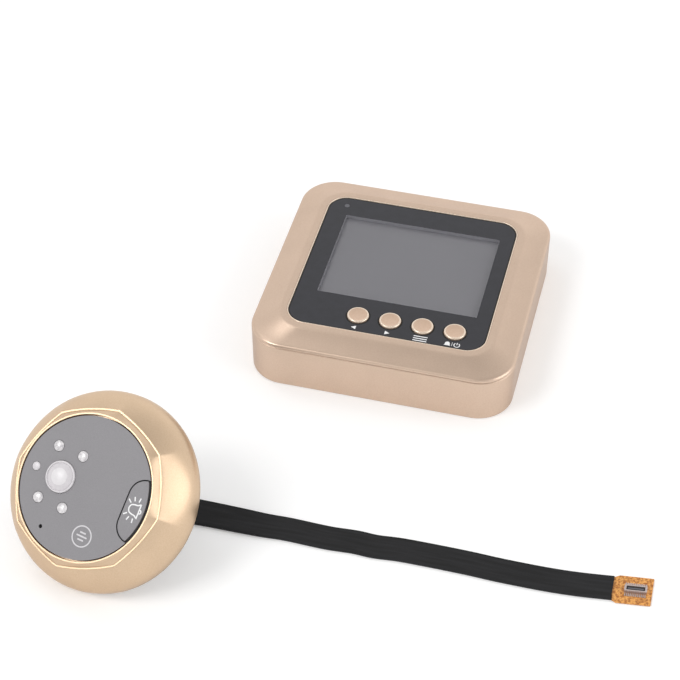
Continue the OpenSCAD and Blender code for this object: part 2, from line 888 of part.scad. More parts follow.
module bell_button() {
  color("#9c9a9d")
  in_unit() {
    translate([0, 0, face_z - bell_t]) linear_extrude(bell_t) intersection() {
      bell_outline(0);
      circle(face_r - bell_edge);
    }
    translate([bell_stem_x - bell_stem_w / 2, -bell_stem_w / 2, bell_stem_z])
      cube([bell_stem_w, bell_stem_w, face_z - bell_t - bell_stem_z + bite]);
  }
}

module bell_switch() {
  color("#2a2a2c")
  in_unit() translate([bell_stem_x, 0, cam_board_top]) tact_switch();
}

// Domed front lens with a brim under the face plate
module camera_lens() {
  dome = (lens_r * lens_r + lens_rise * lens_rise) / (2 * lens_rise);
  color("#e4e2e5", 0.85)
  in_unit() translate([-lens_left, 0, 0]) {
    translate([0, 0, seat_z - lens_brim_t]) cylinder(r = lens_r + lens_brim, h = lens_brim_t);
    translate([0, 0, seat_z - bite]) cylinder(r = lens_r, h = face_t + bite);
    intersection() {
      translate([0, 0, face_z + lens_rise - dome]) sphere(dome);
      translate([0, 0, face_z - bite]) cylinder(r = lens_r, h = lens_rise + over);
    }
  }
}

module lens_seal() {
  color("#1c1c1e")
  in_unit() translate([-lens_left, 0, seat_z - lens_brim_t - seal_t]) difference() {
    cylinder(r = lens_r + lens_brim, h = seal_t);
    translate([0, 0, -over]) cylinder(r = barrel_r, h = seal_t + 2 * over);
  }
}

// Lens barrel on a square foot round the image sensor
module lens_barrel() {
  top = seat_z - lens_brim_t - seal_t;
  barrel_base_h = top - cam_board_top - barrel_neck;
  color("#242426")
  in_unit() translate([-lens_left, 0, cam_board_top]) difference() {
    union() {
      translate([-barrel_base / 2, -barrel_base / 2, 0])
        cube([barrel_base, barrel_base, barrel_base_h]);
      cylinder(r = lens_r + lens_brim, h = top - cam_board_top);
    }
    translate([0, 0, barrel_base_h]) cylinder(r = barrel_r, h = top);
    translate([-chip_w / 2 - loose, -chip_w / 2 - loose, -over])
      cube([chip_w + 2 * loose, chip_w + 2 * loose, barrel_base_h + 2 * over]);
  }
}

module image_sensor() {
  color("#4a5a8a")
  in_unit() translate([-lens_left - chip_w / 2, -chip_w / 2, cam_board_top])
    cube([chip_w, chip_w, chip_h]);
}

// Round-topped lamp on two leads, standing on the camera board
module lamp(r, rise) {
  top = face_z + rise - r;
  translate([0, 0, top]) sphere(r);
  translate([0, 0, top - lamp_body]) cylinder(r = r, h = lamp_body);
  for (s = [-1, 1]) translate([s * lead_gap / 2, 0, cam_board_top])
    cylinder(r = lead_r, h = top - lamp_body - cam_board_top + bite);
}

module ir_lamps() {
  color("#e8e6ea")
  in_unit() translate([-lens_left, 0, 0]) around(lamp_orbit, lamp_angles) lamp(lamp_r, lamp_rise);
}

module light_sensor() {
  color("#d8d4d6")
  in_unit() translate([-lens_left, 0, 0]) around(sensor_orbit, [180]) lamp(sensor_r, lamp_rise / 2);
}

// Microphone capsule against the back of the face plate, on two leads
module microphone() {
  color("#a8a9ac")
  in_unit() around(face_r - mic_in - mic_inward, [mic_angle]) {
    translate([0, 0, seat_z - mic_h]) cylinder(r = mic_r, h = mic_h);
    for (s = [-1, 1]) translate([s * lead_gap / 2, 0, cam_board_top])
      cylinder(r = lead_r, h = seat_z - mic_h - cam_board_top + bite);
  }
}

module camera_board() {
  color("#1f6b3f")
  in_unit() translate([0, 0, cam_board_z]) linear_extrude(cam_board_t) circle(cam_board_r);
}

module in_gland() {
  translate([0, gland_y, 0]) rotate([0, 0, gland_turn]) children();
}

module board_header() {
  color("#e2ded2")
  in_unit() in_gland() translate([-header_w / 2, -header_l / 2, cover_top])
    cube([header_w, header_l, cam_board_stand]);
}

module back_cover() {
  color("#6c6862")
  in_unit() difference() {
    union() {
      translate([0, 0, cover_z]) cylinder(r = cover_r, h = cover_t);
      around(pillar_orbit, pillar_angles)
        translate([0, 0, cover_top - bite]) cylinder(r = pillar_r, h = cam_board_stand + bite);
    }
    around(cover_screw_orbit, cover_screw_angles) {
      translate([0, 0, -over]) cylinder(r = cover_screw_r + snug, h = cover_top + 2 * over);
      translate([0, 0, cover_z - over]) cylinder(r = cover_head_r + snug, h = cover_head_h + over);
    }
    for (s = [-1, 1]) translate([s * post_gap / 2, -post_drop, -over])
      cylinder(r = post_r + snug / 2, h = cover_top + 2 * over);
    in_gland() translate([0, 0, -over]) linear_extrude(cover_top + 2 * over)
      rounded(gland_w + snug, gland_l + snug, (gland_w + snug) / 2 - snug);
  }
}

module back_screws() {
  color("#8c8f94")
  in_unit() around(cover_screw_orbit, cover_screw_angles) translate([0, 0, cover_z]) {
    cylinder(r = cover_head_r, h = cover_head_h);
    cylinder(r = cover_screw_r, h = cover_screw_len + cover_head_h);
  }
}

module door_gasket() {
  color("#2c2c2e")
  in_unit() translate([0, 0, cover_z - gasket_t]) difference() {
    cylinder(r = gasket_out_r, h = gasket_t);
    translate([0, 0, -over]) cylinder(r = gasket_in_r, h = gasket_t + 2 * over);
  }
}

// Tapped sleeves through the back cover, each with a flange inside it
module mounting_posts() {
  color("#c9a45c")
  in_unit() for (s = [-1, 1]) translate([s * post_gap / 2, -post_drop, 0]) difference() {
    union() {
      translate([0, 0, -post_len]) cylinder(r = post_r, h = post_len + cover_top + bite);
      translate([0, 0, cover_top]) cylinder(r = post_flange_r, h = post_flange_t);
    }
    translate([0, 0, -post_len - over]) cylinder(r = post_bore_r, h = post_bore_len + over);
  }
}

module ribbon_gland() {
  color("#1a1a1b")
  in_unit() in_gland() {
    translate([0, 0, cover_z - bite]) linear_extrude(cover_t + bite)
      rounded(gland_w, gland_l, gland_w / 2 - snug);
    translate([0, 0, cover_z - gland_brim_t]) linear_extrude(gland_brim_t)
      rounded(gland_w + 2 * gland_brim, gland_l + 2 * gland_brim, gland_w / 2);
  }
}

// Flat ribbon swept along the route: eight-sided section, turned by each point's tilt
function unit(v) = v / norm(v);
function route_dir(i) =
  i == 0 ? back_dir
  : i == len(route) - 1 ? [cos(tail_heading), sin(tail_heading), 0]
  : unit([for (k = [0:2]) route[i + 1][k] - route[i - 1][k]]);
function ribbon_section() =
  let (a = ribbon_w / 2, b = ribbon_t / 2, c = ribbon_ease)
  [
    [-a + c, -b], [a - c, -b], [a, -b + c], [a, b - c],
    [a - c, b], [-a + c, b], [-a, b - c], [-a, -b + c]
  ];

module ribbon_cable() {
  section = ribbon_section();
  n = len(section);
  rings = len(route);
  points = [
    for (i = [0:rings - 1])
      let (
        along = route_dir(i),
        side = [0, cos(route[i][3]), sin(route[i][3])],
        across = unit(side - (side * along) * along),
        out = cross(along, across)
      )
      for (q = section) [route[i].x, route[i].y, route[i].z] + q[0] * across + q[1] * out
  ];
  sides = [
    for (k = [0:rings - 2], i = [0:n - 1]) let (j = (i + 1) % n)
      each [[k * n + i, k * n + n + j, k * n + j], [k * n + i, k * n + n + i, k * n + n + j]]
  ];
  start = [[for (i = [0:n - 1]) i]];
  end = [[for (i = [n - 1:-1:0]) (rings - 1) * n + i]];
  color("#2a2a2b") polyhedron(points, concat(sides, start, end));
}

module in_tail() {
  translate([tail_x, tail_y, tail_z]) rotate([0, 0, tail_heading]) children();
}

module ribbon_tail() {
  color("#d08a3c")
  in_tail() linear_extrude(tail_t) polygon([
    [0, -ribbon_w / 2 + snug], [tail_shoulder, -tail_w / 2], [tail_len, -tail_w / 2],
    [tail_len, tail_w / 2], [tail_shoulder, tail_w / 2], [0, ribbon_w / 2 - snug]
  ]);
}

// Plug with a socket channel between two rows of contact pads
module ribbon_plug() {
  color("#8d8a88")
  in_tail() translate([plug_at, 0, tail_t]) {
    translate([-plug_l / 2, -pad_w / 2, 0]) cube([plug_l, pad_w, pad_t]);
    difference() {
      translate([-plug_l / 2, -plug_w / 2, 0]) cube([plug_l, plug_w, plug_h]);
      translate([-plug_l / 2 + plug_end, -plug_w / 2 + plug_side, plug_h / 2])
        cube([plug_l - 2 * plug_end, plug_w - 2 * plug_side, plug_h]);
    }
  }
}

front_bezel();
rear_case();
window_panel();
display_window();
display_foam();
display_glass();
display_backlight();
display_flex();
main_board();
tact_switches();
button_left();
button_right();
button_menu();
button_power();
status_light();
speaker();
ribbon_socket();
battery_cells();
battery_contacts();
battery_door();
case_screws();
board_screws();
dome_shell();
face_plate();
bell_button();
bell_switch();
camera_lens();
lens_seal();
lens_barrel();
image_sensor();
ir_lamps();
light_sensor();
microphone();
camera_board();
board_header();
back_cover();
back_screws();
door_gasket();
mounting_posts();
ribbon_gland();
ribbon_cable();
ribbon_tail();
ribbon_plug();
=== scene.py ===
import json
import math

import bmesh
import bpy
import numpy as np
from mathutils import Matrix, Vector


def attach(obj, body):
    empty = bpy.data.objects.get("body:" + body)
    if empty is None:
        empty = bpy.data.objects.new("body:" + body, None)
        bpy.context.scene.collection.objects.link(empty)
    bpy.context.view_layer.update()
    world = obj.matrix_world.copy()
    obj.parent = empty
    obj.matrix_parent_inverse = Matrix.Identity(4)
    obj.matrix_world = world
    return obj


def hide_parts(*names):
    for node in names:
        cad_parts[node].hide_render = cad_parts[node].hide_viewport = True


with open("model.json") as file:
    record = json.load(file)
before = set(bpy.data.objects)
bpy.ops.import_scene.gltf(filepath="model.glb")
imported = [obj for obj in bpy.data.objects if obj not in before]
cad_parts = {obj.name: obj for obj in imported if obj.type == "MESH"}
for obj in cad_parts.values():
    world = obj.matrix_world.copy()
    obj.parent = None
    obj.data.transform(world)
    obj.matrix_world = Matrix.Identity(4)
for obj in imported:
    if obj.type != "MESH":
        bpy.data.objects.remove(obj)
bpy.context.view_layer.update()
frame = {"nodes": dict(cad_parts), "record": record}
nodes = frame["nodes"]
scene = bpy.context.scene
scene.view_settings.view_transform = "Standard"
mm = 0.001  # lengths below are in millimetres unless a note says metres
print("frame loaded:", len(nodes), "CAD nodes")


# camera

photoView = {
    "target": (-16.25, -16.51, 0.0),  # the point in the middle of the picture
    "azimuth": 14.31,  # degrees to the right of the monitor's front
    "elevation": 43.85,
    "distance": 617.33,
    "lens": 105.88,
    "sensor": 36.0,
}
turn = math.radians(photoView["azimuth"])
rise = math.radians(photoView["elevation"])
back = Vector((math.sin(turn) * math.cos(rise), -math.cos(turn) * math.cos(rise), math.sin(rise)))
camera = bpy.data.objects.new("photoCamera", bpy.data.cameras.new("photoCamera"))
camera.data.lens = photoView["lens"]
camera.data.sensor_width = photoView["sensor"]
camera.location = (Vector(photoView["target"]) + photoView["distance"] * back) * mm
camera.rotation_euler = (-back).to_track_quat("-Z", "Y").to_euler()
scene.collection.objects.link(camera)
scene.camera = camera
print("camera placed")


# shapes: every surface is a grid of rings, built with whole arrays

sideSteps = np.array([0.01, 0.06, 0.2, 0.4, 0.6, 0.8, 0.94, 0.99])  # points along a straight side
softEdge = 32  # degrees; edges steeper than this stay crisp
boxEdge = 20  # the same for boxes and plates
weld = 2e-7  # m; points closer than this become one


def unitRows(vectors):
    # each row divided by its length
    return vectors / np.linalg.norm(vectors, axis=-1, keepdims=True)


def atHeight(outline, z):
    # flat points lifted to a height
    return np.column_stack([outline, np.full(len(outline), z)])


def roundedRings(rows, arcSteps):
    # rows of half width, half depth, corner radius, height; a ring runs through four quarter arcs,
    # corner centre + radius * (cos a, sin a), with points on the straight sides between them
    halfX, halfY, radius, height = np.asarray(rows, float).T[:, :, None, None]
    angle = np.linspace(0, np.pi / 2, arcSteps) + np.arange(4)[:, None] * np.pi / 2
    signX = np.array([1, -1, -1, 1])[:, None]
    signY = np.array([1, 1, -1, -1])[:, None]
    x = signX * (halfX - radius) + radius * np.cos(angle)
    y = signY * (halfY - radius) + radius * np.sin(angle)
    arcs = np.stack([x, y, height + 0 * x], -1)
    start = arcs[:, :, -1:]
    stop = np.roll(arcs, -1, 1)[:, :, :1]
    sides = start + (stop - start) * sideSteps[:, None]
    return np.concatenate([arcs, sides], 2).reshape(len(arcs), -1, 3)


def turnedRings(profile, steps, centre):
    # lathe: each profile row (r, z) becomes the circle (r cos a, r sin a, z) about the centre
    r, z = np.asarray(profile, float).T[:, :, None]
    a = np.linspace(0, 2 * np.pi, steps, endpoint=False)
    return np.stack([centre[0] + r * np.cos(a), centre[1] + r * np.sin(a), z + 0 * a], -1)


def plateRings(outline, low, high):
    # flat outline, once at each height
    return np.stack([atHeight(outline, low), atHeight(outline, high)])


def rectangle(x, halfX, halfY):
    # outline about the point (x, 0)
    return np.array([(x - halfX, -halfY), (x + halfX, -halfY), (x + halfX, halfY), (x - halfX, halfY)])


def boxRings(low, high):
    # upright box between two opposite corners
    outline = [(low[0], low[1]), (high[0], low[1]), (high[0], high[1]), (low[0], high[1])]
    return plateRings(outline, low[2], high[2])


def strokeRings(path, width, low, high, closed=False):
    # rectangle carried along a flat path: path point + or - half a width along the path's normal
    path = np.asarray(path, float)
    along = unitRows(np.roll(path, -1, 0) - np.roll(path, 1, 0) if closed else np.gradient(path, axis=0))
    side = np.stack([-along[:, 1], along[:, 0]], -1) * width / 2
    corners = [(path + side, low), (path - side, low), (path - side, high), (path + side, high)]
    return np.stack([atHeight(points, z) for points, z in corners], 1)


def arcPath(centre, radius, fromAngle, toAngle, steps):
    # centre + radius * (cos a, sin a), angles in degrees
    a = np.radians(np.linspace(fromAngle, toAngle, steps))
    return np.column_stack([centre[0] + radius * np.cos(a), centre[1] + radius * np.sin(a)])


def bend(fromPoint, corner, toPoint, steps):
    # rounded edge in a profile table: quadratic curve, (1-t)^2 from + 2t(1-t) corner + t^2 to
    t = np.linspace(0, 1, steps)[:, None]
    fromPoint, corner, toPoint = (np.asarray(p, float) for p in (fromPoint, corner, toPoint))
    return (1 - t) ** 2 * fromPoint + 2 * t * (1 - t) * corner + t ** 2 * toPoint


def throughPoints(points, perSpan):
    # smooth path through the points: each span is a cubic of its four nearest points
    points = np.asarray(points, float)
    t = np.linspace(0, len(points) - 1, (len(points) - 1) * perSpan + 1)
    i = np.minimum(t.astype(int), len(points) - 2)
    f = (t - i)[:, None]
    p0, p1, p2, p3 = (points[np.clip(i + k, 0, len(points) - 1)] for k in (-1, 0, 1, 2))
    square = 2 * p0 - 5 * p1 + 4 * p2 - p3
    cube = 3 * p1 - p0 - 3 * p2 + p3
    return 0.5 * (2 * p1 + (p2 - p0) * f + square * f ** 2 + cube * f ** 3)


def solidMesh(name, solids, sharp, lay=None):
    # solids: (rings, loop) pairs; rings close round their columns, and either round their rows too
    # (loop) or with a row of centre points at each end; faces point outward by their signed volume;
    # lay: a place for every point, kept as an attribute for the material
    points, quads, count = [], [], 0
    for rings, loop in solids:
        if not loop:
            foot, cap = (0 * ring + ring.mean(1, keepdims=True) for ring in (rings[:1], rings[-1:]))
            rings = np.concatenate([foot, rings, cap])
        rows, columns = rings.shape[:2]
        row, column = np.mgrid[0:rows if loop else rows - 1, 0:columns]
        rowAfter = (row + 1) % rows
        columnAfter = (column + 1) % columns
        corners = [(row, column), (row, columnAfter), (rowAfter, columnAfter), (rowAfter, column)]
        faces = np.stack([r * columns + c for r, c in corners], -1).reshape(-1, 4)
        flat = rings.reshape(-1, 3)
        a, b, c, d = flat[faces].swapaxes(0, 1)
        if np.sum(a * (np.cross(b, c) + np.cross(c, d))) < 0:
            faces = faces[:, ::-1]
        points.append(flat)
        quads.append(faces + count)
        count += len(flat)
    mesh = bpy.data.meshes.new(name)
    mesh.from_pydata((np.concatenate(points) * mm).tolist(), [], np.concatenate(quads).tolist())
    if lay is not None:
        places = mesh.attributes.new("lay", "FLOAT_VECTOR", "POINT")
        places.data.foreach_set("vector", (lay * mm).ravel())
    work = bmesh.new()
    work.from_mesh(mesh)
    bmesh.ops.remove_doubles(work, verts=work.verts, dist=weld)
    bmesh.ops.dissolve_degenerate(work, dist=weld / 20, edges=work.edges)
    work.to_mesh(mesh)
    work.free()
    mesh.shade_smooth()
    mesh.set_sharp_from_angle(angle=math.radians(sharp))
    return mesh


def addPiece(name, solids, material, body, stands=(), sharp=softEdge, lay=None):
    # new object on a body of the frame; stands: the CAD nodes that it is shown instead of
    piece = bpy.data.objects.new(name, solidMesh(name, solids, sharp, lay))
    piece.data.materials.append(material)
    scene.collection.objects.link(piece)
    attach(piece, body)
    if stands:
        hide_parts(*stands)
    return piece


def carve(piece, operation, tools):
    # Boolean with each tool in turn; the tools are gone afterwards
    helpers = []
    for rings in tools:
        helper = bpy.data.objects.new("tool", solidMesh("tool", [(rings, False)], softEdge))
        scene.collection.objects.link(helper)
        helpers.append(helper)
        modifier = piece.modifiers.new("carve", "BOOLEAN")
        modifier.operation = operation
        modifier.solver = "EXACT"
        modifier.object = helper
    carved = bpy.data.meshes.new_from_object(piece.evaluated_get(bpy.context.evaluated_depsgraph_get()))
    piece.modifiers.clear()
    piece.data = carved
    for helper in helpers:
        bpy.data.objects.remove(helper)
    carved.shade_smooth()
    carved.set_sharp_from_angle(angle=math.radians(softEdge))


# materials

noiseSpan = (0.3, 0.7)  # nearly all of the noise lies between these


def linear(colour):
    # sRGB hex to linear light with full alpha
    channels = np.array([int(colour[i:i + 2], 16) for i in (1, 3, 5)]) / 255
    light = np.where(channels <= 0.04045, channels / 12.92, ((channels + 0.055) / 1.055) ** 2.4)
    return (*light.tolist(), 1.0)


def setInputs(tree, node, inputs):
    # a socket is linked, any other value is set
    for key, value in inputs.items():
        if isinstance(value, bpy.types.NodeSocket):
            tree.links.new(value, node.inputs[key])
        else:
            node.inputs[key].default_value = value


def addNode(tree, kind, inputs=None, give=0, **settings):
    # shader node with its settings, values and links; returns the output that is asked for
    node = tree.nodes.new("ShaderNode" + kind)
    for key, value in settings.items():
        setattr(node, key, value)
    setInputs(tree, node, inputs or {})
    return node.outputs[give]


def newMaterial(name):
    material = bpy.data.materials.new(name)
    material.use_nodes = True
    return material, material.node_tree, material.node_tree.nodes["Principled BSDF"]


def finish(name, tones, grain, rough, relief, sockets=None, patches=None, toneSpan=noiseSpan):
    # two tones mixed by noise of the given grain (mm), which also drives the roughness between its two
    # values and the relief (mm); patches: size in mm and strength of a broad, slow change of tone;
    # a narrower toneSpan makes the tones' spots crisper
    material, tree, shader = newMaterial(name)
    place = addNode(tree, "TexCoord", give="Object")
    noise = addNode(tree, "TexNoise", {"Vector": place, "Scale": 1 / (grain * mm), "Detail": 3.0})
    amount = addNode(tree, "MapRange", {"Value": noise, "From Min": toneSpan[0], "From Max": toneSpan[1]})
    first, second = (linear(colour) for colour in tones)
    tone = addNode(tree, "Mix", {"Factor": amount, 6: first, 7: second}, 2, data_type="RGBA")
    spread = {"From Min": noiseSpan[0], "From Max": noiseSpan[1]}
    if patches:
        size, change = patches
        broad = addNode(tree, "TexNoise", {"Vector": place, "Scale": 1 / (size * mm), "Detail": 1.0})
        shade = addNode(tree, "MapRange", {"Value": broad, **spread,
                                           "To Min": 1 - change, "To Max": 1 + change})
        tone = addNode(tree, "VectorMath", {0: tone, "Scale": shade}, operation="SCALE")
    gloss = addNode(tree, "MapRange", {"Value": noise, **spread, "To Min": rough[0], "To Max": rough[1]})
    bump = addNode(tree, "Bump", {"Height": noise, "Distance": relief * mm})
    setInputs(tree, shader, {"Base Color": tone, "Roughness": gloss, "Normal": bump, **(sockets or {})})
    return material


# satin lacquer with metal flakes on moulded ABS, the flakes drawn coarse enough to show: warm, with soft
# highlights that wash out at a shallow angle
champagneLacquer = finish("champagneLacquer", ("#D7BFAB", "#D1B7A2"), 0.35, (0.3, 0.38), 0.004,
                          {"Metallic": 0.75, "Coat Weight": 0.25, "Coat Roughness": 0.25,
                           "Specular Tint": linear("#C4BCB8")}, (9, 0.02))
# the same lacquer on the outdoor shell, a little yellower and smoother
goldLacquer = finish("goldLacquer", ("#D5BB9E", "#CEB395"), 0.35, (0.3, 0.36), 0.003,
                     {"Metallic": 0.75, "Coat Weight": 0.3, "Coat Roughness": 0.2,
                      "Specular Tint": linear("#E2D4C4")}, (8, 0.02))
# anodised caps of the push buttons: even and warm
anodisedGold = finish("anodisedGold", ("#DCBFA8", "#D5B69D"), 0.5, (0.3, 0.36), 0.002,
                      {"Metallic": 0.7, "Coat Weight": 0.3, "Coat Roughness": 0.2})
# painted highlight on the edges of buttons and panel: a thin line of brighter gold where they catch the light
highlightGold = finish("highlightGold", ("#F4E0CC", "#EDD7C1"), 0.4, (0.22, 0.3), 0.001,
                      {"Metallic": 0.55, "Coat Weight": 0.3, "Coat Roughness": 0.2})
# painted highlight on the crests of the outdoor shell: the lacquer a shade brighter
ridgeHighlightGold = finish("ridgeHighlightGold", ("#D8BE9E", "#D1B694"), 0.4, (0.32, 0.38), 0.001,
                   {"Metallic": 0.7, "Coat Weight": 0.2, "Coat Roughness": 0.25})
# glossy black acrylic: dark body under an even pale reflection
blackAcrylic = finish("blackAcrylic", ("#2A2A30", "#26262B"), 3, (0.1, 0.16), 0.0002)
# clear acrylic, faintly smoky: a thin share of it shows, so a higher index makes up its reflection
clearAcrylic = finish("clearAcrylic", ("#1C1C1F", "#18181B"), 4, (0.02, 0.05), 0.0,
                      {"Alpha": 0.15, "IOR": 2.6})
# polariser film over a display that is switched off: flat mid grey
polariserFilm = finish("polariserFilm", ("#929197", "#8D8C92"), 0.15, (0.3, 0.36), 0.0008, None, (22, 0.02))
# grey ink along the display's rear and left border and on the window's edges, a shade darker: painted shade
# standing in for the recess's walls and their shade
recessShadeInk = finish("recessShadeInk", ("#8E8D94", "#89888F"), 0.3, (0.5, 0.6), 0.001)
# open-cell dust foam round the display: pale and dull
greyFoam = finish("greyFoam", ("#A9A8AD", "#9D9CA1"), 0.4, (0.9, 1.0), 0.04)
# closed-cell foam: matt and dark
blackFoam = finish("blackFoam", ("#2B2B2E", "#1F1F22"), 0.4, (0.9, 1.0), 0.06)
# plated steel of springs, screws and cans: bright and hard
platedSteel = finish("platedSteel", ("#B9BCC0", "#9EA1A6"), 0.6, (0.24, 0.36), 0.003, {"Metallic": 1.0})
# green solder mask over copper: a satin film
solderMask = finish("solderMask", ("#1F6B3F", "#1A5E37"), 0.8, (0.3, 0.42), 0.006, {"Coat Weight": 0.4})
# moulded black nylon of switches and barrel: soft sheen
blackNylon = finish("blackNylon", ("#2A2A2C", "#222224"), 0.5, (0.42, 0.55), 0.006)
# moulded black rubber: dull and dense; its black also serves as painted shade in the gaps round buttons,
# panel and bell cap
blackRubberAndGapShade = finish("blackRubberAndGapShade", ("#1E1E1F", "#171718"), 0.4, (0.65, 0.8), 0.01)
# moulded ivory nylon of connectors: waxy
ivoryNylon = finish("ivoryNylon", ("#DEDACD", "#D2CDBE"), 0.5, (0.42, 0.52), 0.004)
# shrink sleeve of the cells, plain and unmarked: cool metallic film
shrinkSleeve = finish("shrinkSleeve", ("#A9B0B8", "#98A0A9"), 1.2, (0.25, 0.34), 0.003, {"Metallic": 0.4})
# painted ABS of the face: matt and finely grained
paintedAbs = finish("paintedAbs", ("#8D8B8E", "#878588"), 0.25, (0.5, 0.6), 0.005, None, (10, 0.015))
# frosted acrylic of the front lens: cloudy, with a soft sheen
frostedAcrylic = finish("frostedAcrylic", ("#D5D1D4", "#CDC9CC"), 0.8, (0.34, 0.42), 0.002,
                        {"Coat Weight": 0.5, "Coat Roughness": 0.3})
# paler acrylic in the middle of the lens, even: a painted highlight where the lens catches the light
lensHighlightAcrylic = finish("lensHighlightAcrylic", ("#E2DFE1", "#DBD8DA"), 0.8, (0.34, 0.42), 0.002,
                      {"Coat Weight": 0.5, "Coat Roughness": 0.3})
# water-clear lamp epoxy over a white cup: bright spots between greyer ones, the cup seen through it mixed
# with painted reflections
lampEpoxy = finish("lampEpoxy", ("#E6E3E4", "#C2BFC2"), 0.9, (0.1, 0.2), 0.008,
                   {"Coat Weight": 0.6, "Coat Roughness": 0.08}, None, (0.38, 0.62))
# smoky acrylic of the light pipe and the plug's tongue: dark and smooth
smokyAcrylic = finish("smokyAcrylic", ("#626268", "#55555B"), 0.5, (0.2, 0.3), 0.002)
# filter glass over the sensor chip: bluish mirror
filterGlass = finish("filterGlass", ("#4A5A8A", "#3C4A76"), 0.6, (0.1, 0.2), 0.001, {"Metallic": 0.3})
# turned brass of the tapped sleeves: warm and bright
brass = finish("brass", ("#C9A45C", "#B8924C"), 0.5, (0.25, 0.36), 0.003, {"Metallic": 1.0})
# spark-eroded ABS of the unit's back: dark grey, coarse grain
erodedAbs = finish("erodedAbs", ("#6E6A64", "#625E59"), 0.45, (0.55, 0.66), 0.012)
# amber polyimide film: crinkled, with the traces showing through as lighter veins
polyimideFilm = finish("polyimideFilm", ("#EBA857", "#A86216"), 0.6, (0.2, 0.34), 0.04,
                       {"Coat Weight": 0.3}, (3, 0.06), (0.4, 0.6))
# tin plate of the plug's legs and shell: a little pinkish
tinPlate = finish("tinPlate", ("#E2D5D1", "#B9A8A3"), 0.35, (0.25, 0.4), 0.01, {"Metallic": 0.8})
# white screen-print ink: flat and opaque
whiteInk = finish("whiteInk", ("#F4F4F4", "#E9E9EA"), 0.2, (0.5, 0.6), 0.001)
# greyer screen-print ink on the face: flat and fainter
greyInk = finish("greyInk", ("#D6D4D7", "#CBC9CC"), 0.2, (0.5, 0.6), 0.001)
# felt behind the microphone's hole: black, takes all light, and painted shade that makes the hole read dark
blackFelt = finish("blackFelt", ("#0D0D0E", "#060607"), 0.2, (0.9, 1.0), 0.01)
print("materials ready:", len(bpy.data.materials))

tape = {
    "threads": (0.5, 0.4),  # between threads, along and across the ribbon
    "streak": (16.667, 1.1111),  # length and width of the lighter lines along it, a painted sheen
    "streakSpan": (0.35, 0.68),  # noise from which the tone starts to change, and where it ends
    "tones": ("#19191A", "#232325"),
    "relief": 0.02,
    "rough": 0.72,
    "specular": 0.3,
}


def clothTape(t):
    # black cloth tape: a fine weave that catches a faint sheen, with lighter lines along it as painted sheen
    material, tree, shader = newMaterial("blackClothTape")
    lay = addNode(tree, "Attribute", give="Vector", attribute_name="lay")
    waves = []
    for direction, spacing in zip("XY", t["threads"]):
        scale = math.pi / (10 * spacing * mm)  # one band of the wave for each thread
        waves.append(addNode(tree, "TexWave", {"Vector": lay, "Scale": scale}, "Fac",
                             bands_direction=direction))
    weave = addNode(tree, "Math", {0: waves[0], 1: waves[1]}, operation="MULTIPLY")
    along, across = (1 / (size * mm) for size in t["streak"])
    stretched = addNode(tree, "Mapping", {"Vector": lay, "Scale": (along, across, 1)})
    streak = addNode(tree, "TexNoise", {"Vector": stretched, "Scale": 1.0, "Detail": 2.0})
    low, high = t["streakSpan"]
    amount = addNode(tree, "MapRange", {"Value": streak, "From Min": low, "From Max": high})
    dark, light = (linear(colour) for colour in t["tones"])
    tone = addNode(tree, "Mix", {"Factor": amount, 6: dark, 7: light}, 2, data_type="RGBA")
    bump = addNode(tree, "Bump", {"Height": weave, "Distance": t["relief"] * mm})
    setInputs(tree, shader, {"Base Color": tone, "Normal": bump, "Roughness": t["rough"],
                             "Specular IOR Level": t["specular"]})
    return material


# outdoor unit's own frame, from the mount between its two screw posts

unitPlace = {
    "postDrop": 8.0,  # the posts' middle lies this far below the unit's axis
    "postReach": 14.5,  # and their ends this far behind its rear rim
}
posts = next(mount for mount in frame["record"]["mounts"] if mount["name"] == "door_screw_posts")
facing = -np.array(posts["axis"])  # out of the unit's face
sideways = unitRows(np.cross((0, 0, 1), facing))
upward = np.cross(facing, sideways)
unitAxes = np.stack([sideways, upward, facing])
postsMiddle = np.array(posts["pos_m"]) / mm
unitOrigin = postsMiddle + unitPlace["postDrop"] * upward + unitPlace["postReach"] * facing


def onUnit(rings):
    # the unit's own frame (x to its side, z out of its face) to the table
    return unitOrigin + rings @ unitAxes


# ribbon cable, its tail and its plug

ribbon = {
    "width": 8.2,
    "thick": 0.9,
    "corner": 0.3,
    "length": 150.0,  # from the gland to the tail, seen end to end
    "gland": (0.0, -1.0, -1.2),  # in the unit's frame, just inside the gland's end
    "glandTilt": 40,  # sideways tilt there, in degrees
    "heading": 6.5,  # degrees, at the tail
    "lean": 0.09,  # sideways share that the cut ends of sleeve and tail lean by
    "route": [  # x, y, height of the middle, sideways tilt in degrees
        (-57.9, -106.3, 13.8, 38), (-56.2, -102.9, 9.8, 33), (-53, -100, 6.2, 27), (-48.7, -97.7, 3.6, 20),
        (-43.6, -96.3, 1.9, 14), (-38, -95.7, 1.3, 10), (-33, -95.5, 1.1, 8), (-25, -95.5, 1, 6),
        (-18, -95.3, 0.7, 2), (-11, -94.9, 0.5, 0), (0, -95.2, 0.5, 0), (8, -94.8, 0.5, 0),
        (14, -95, 0.5, 0), (22, -94.4, 0.5, 0), (38, -94.4, 0.5, 0), (50, -94.8, 0.5, 0),
        (62, -94.8, 0.5, 0), (70, -94.4, 0.5, 0), (76, -93.8, 0.5, 0), (80.2, -93.3, 0.5, 0),
    ],
}


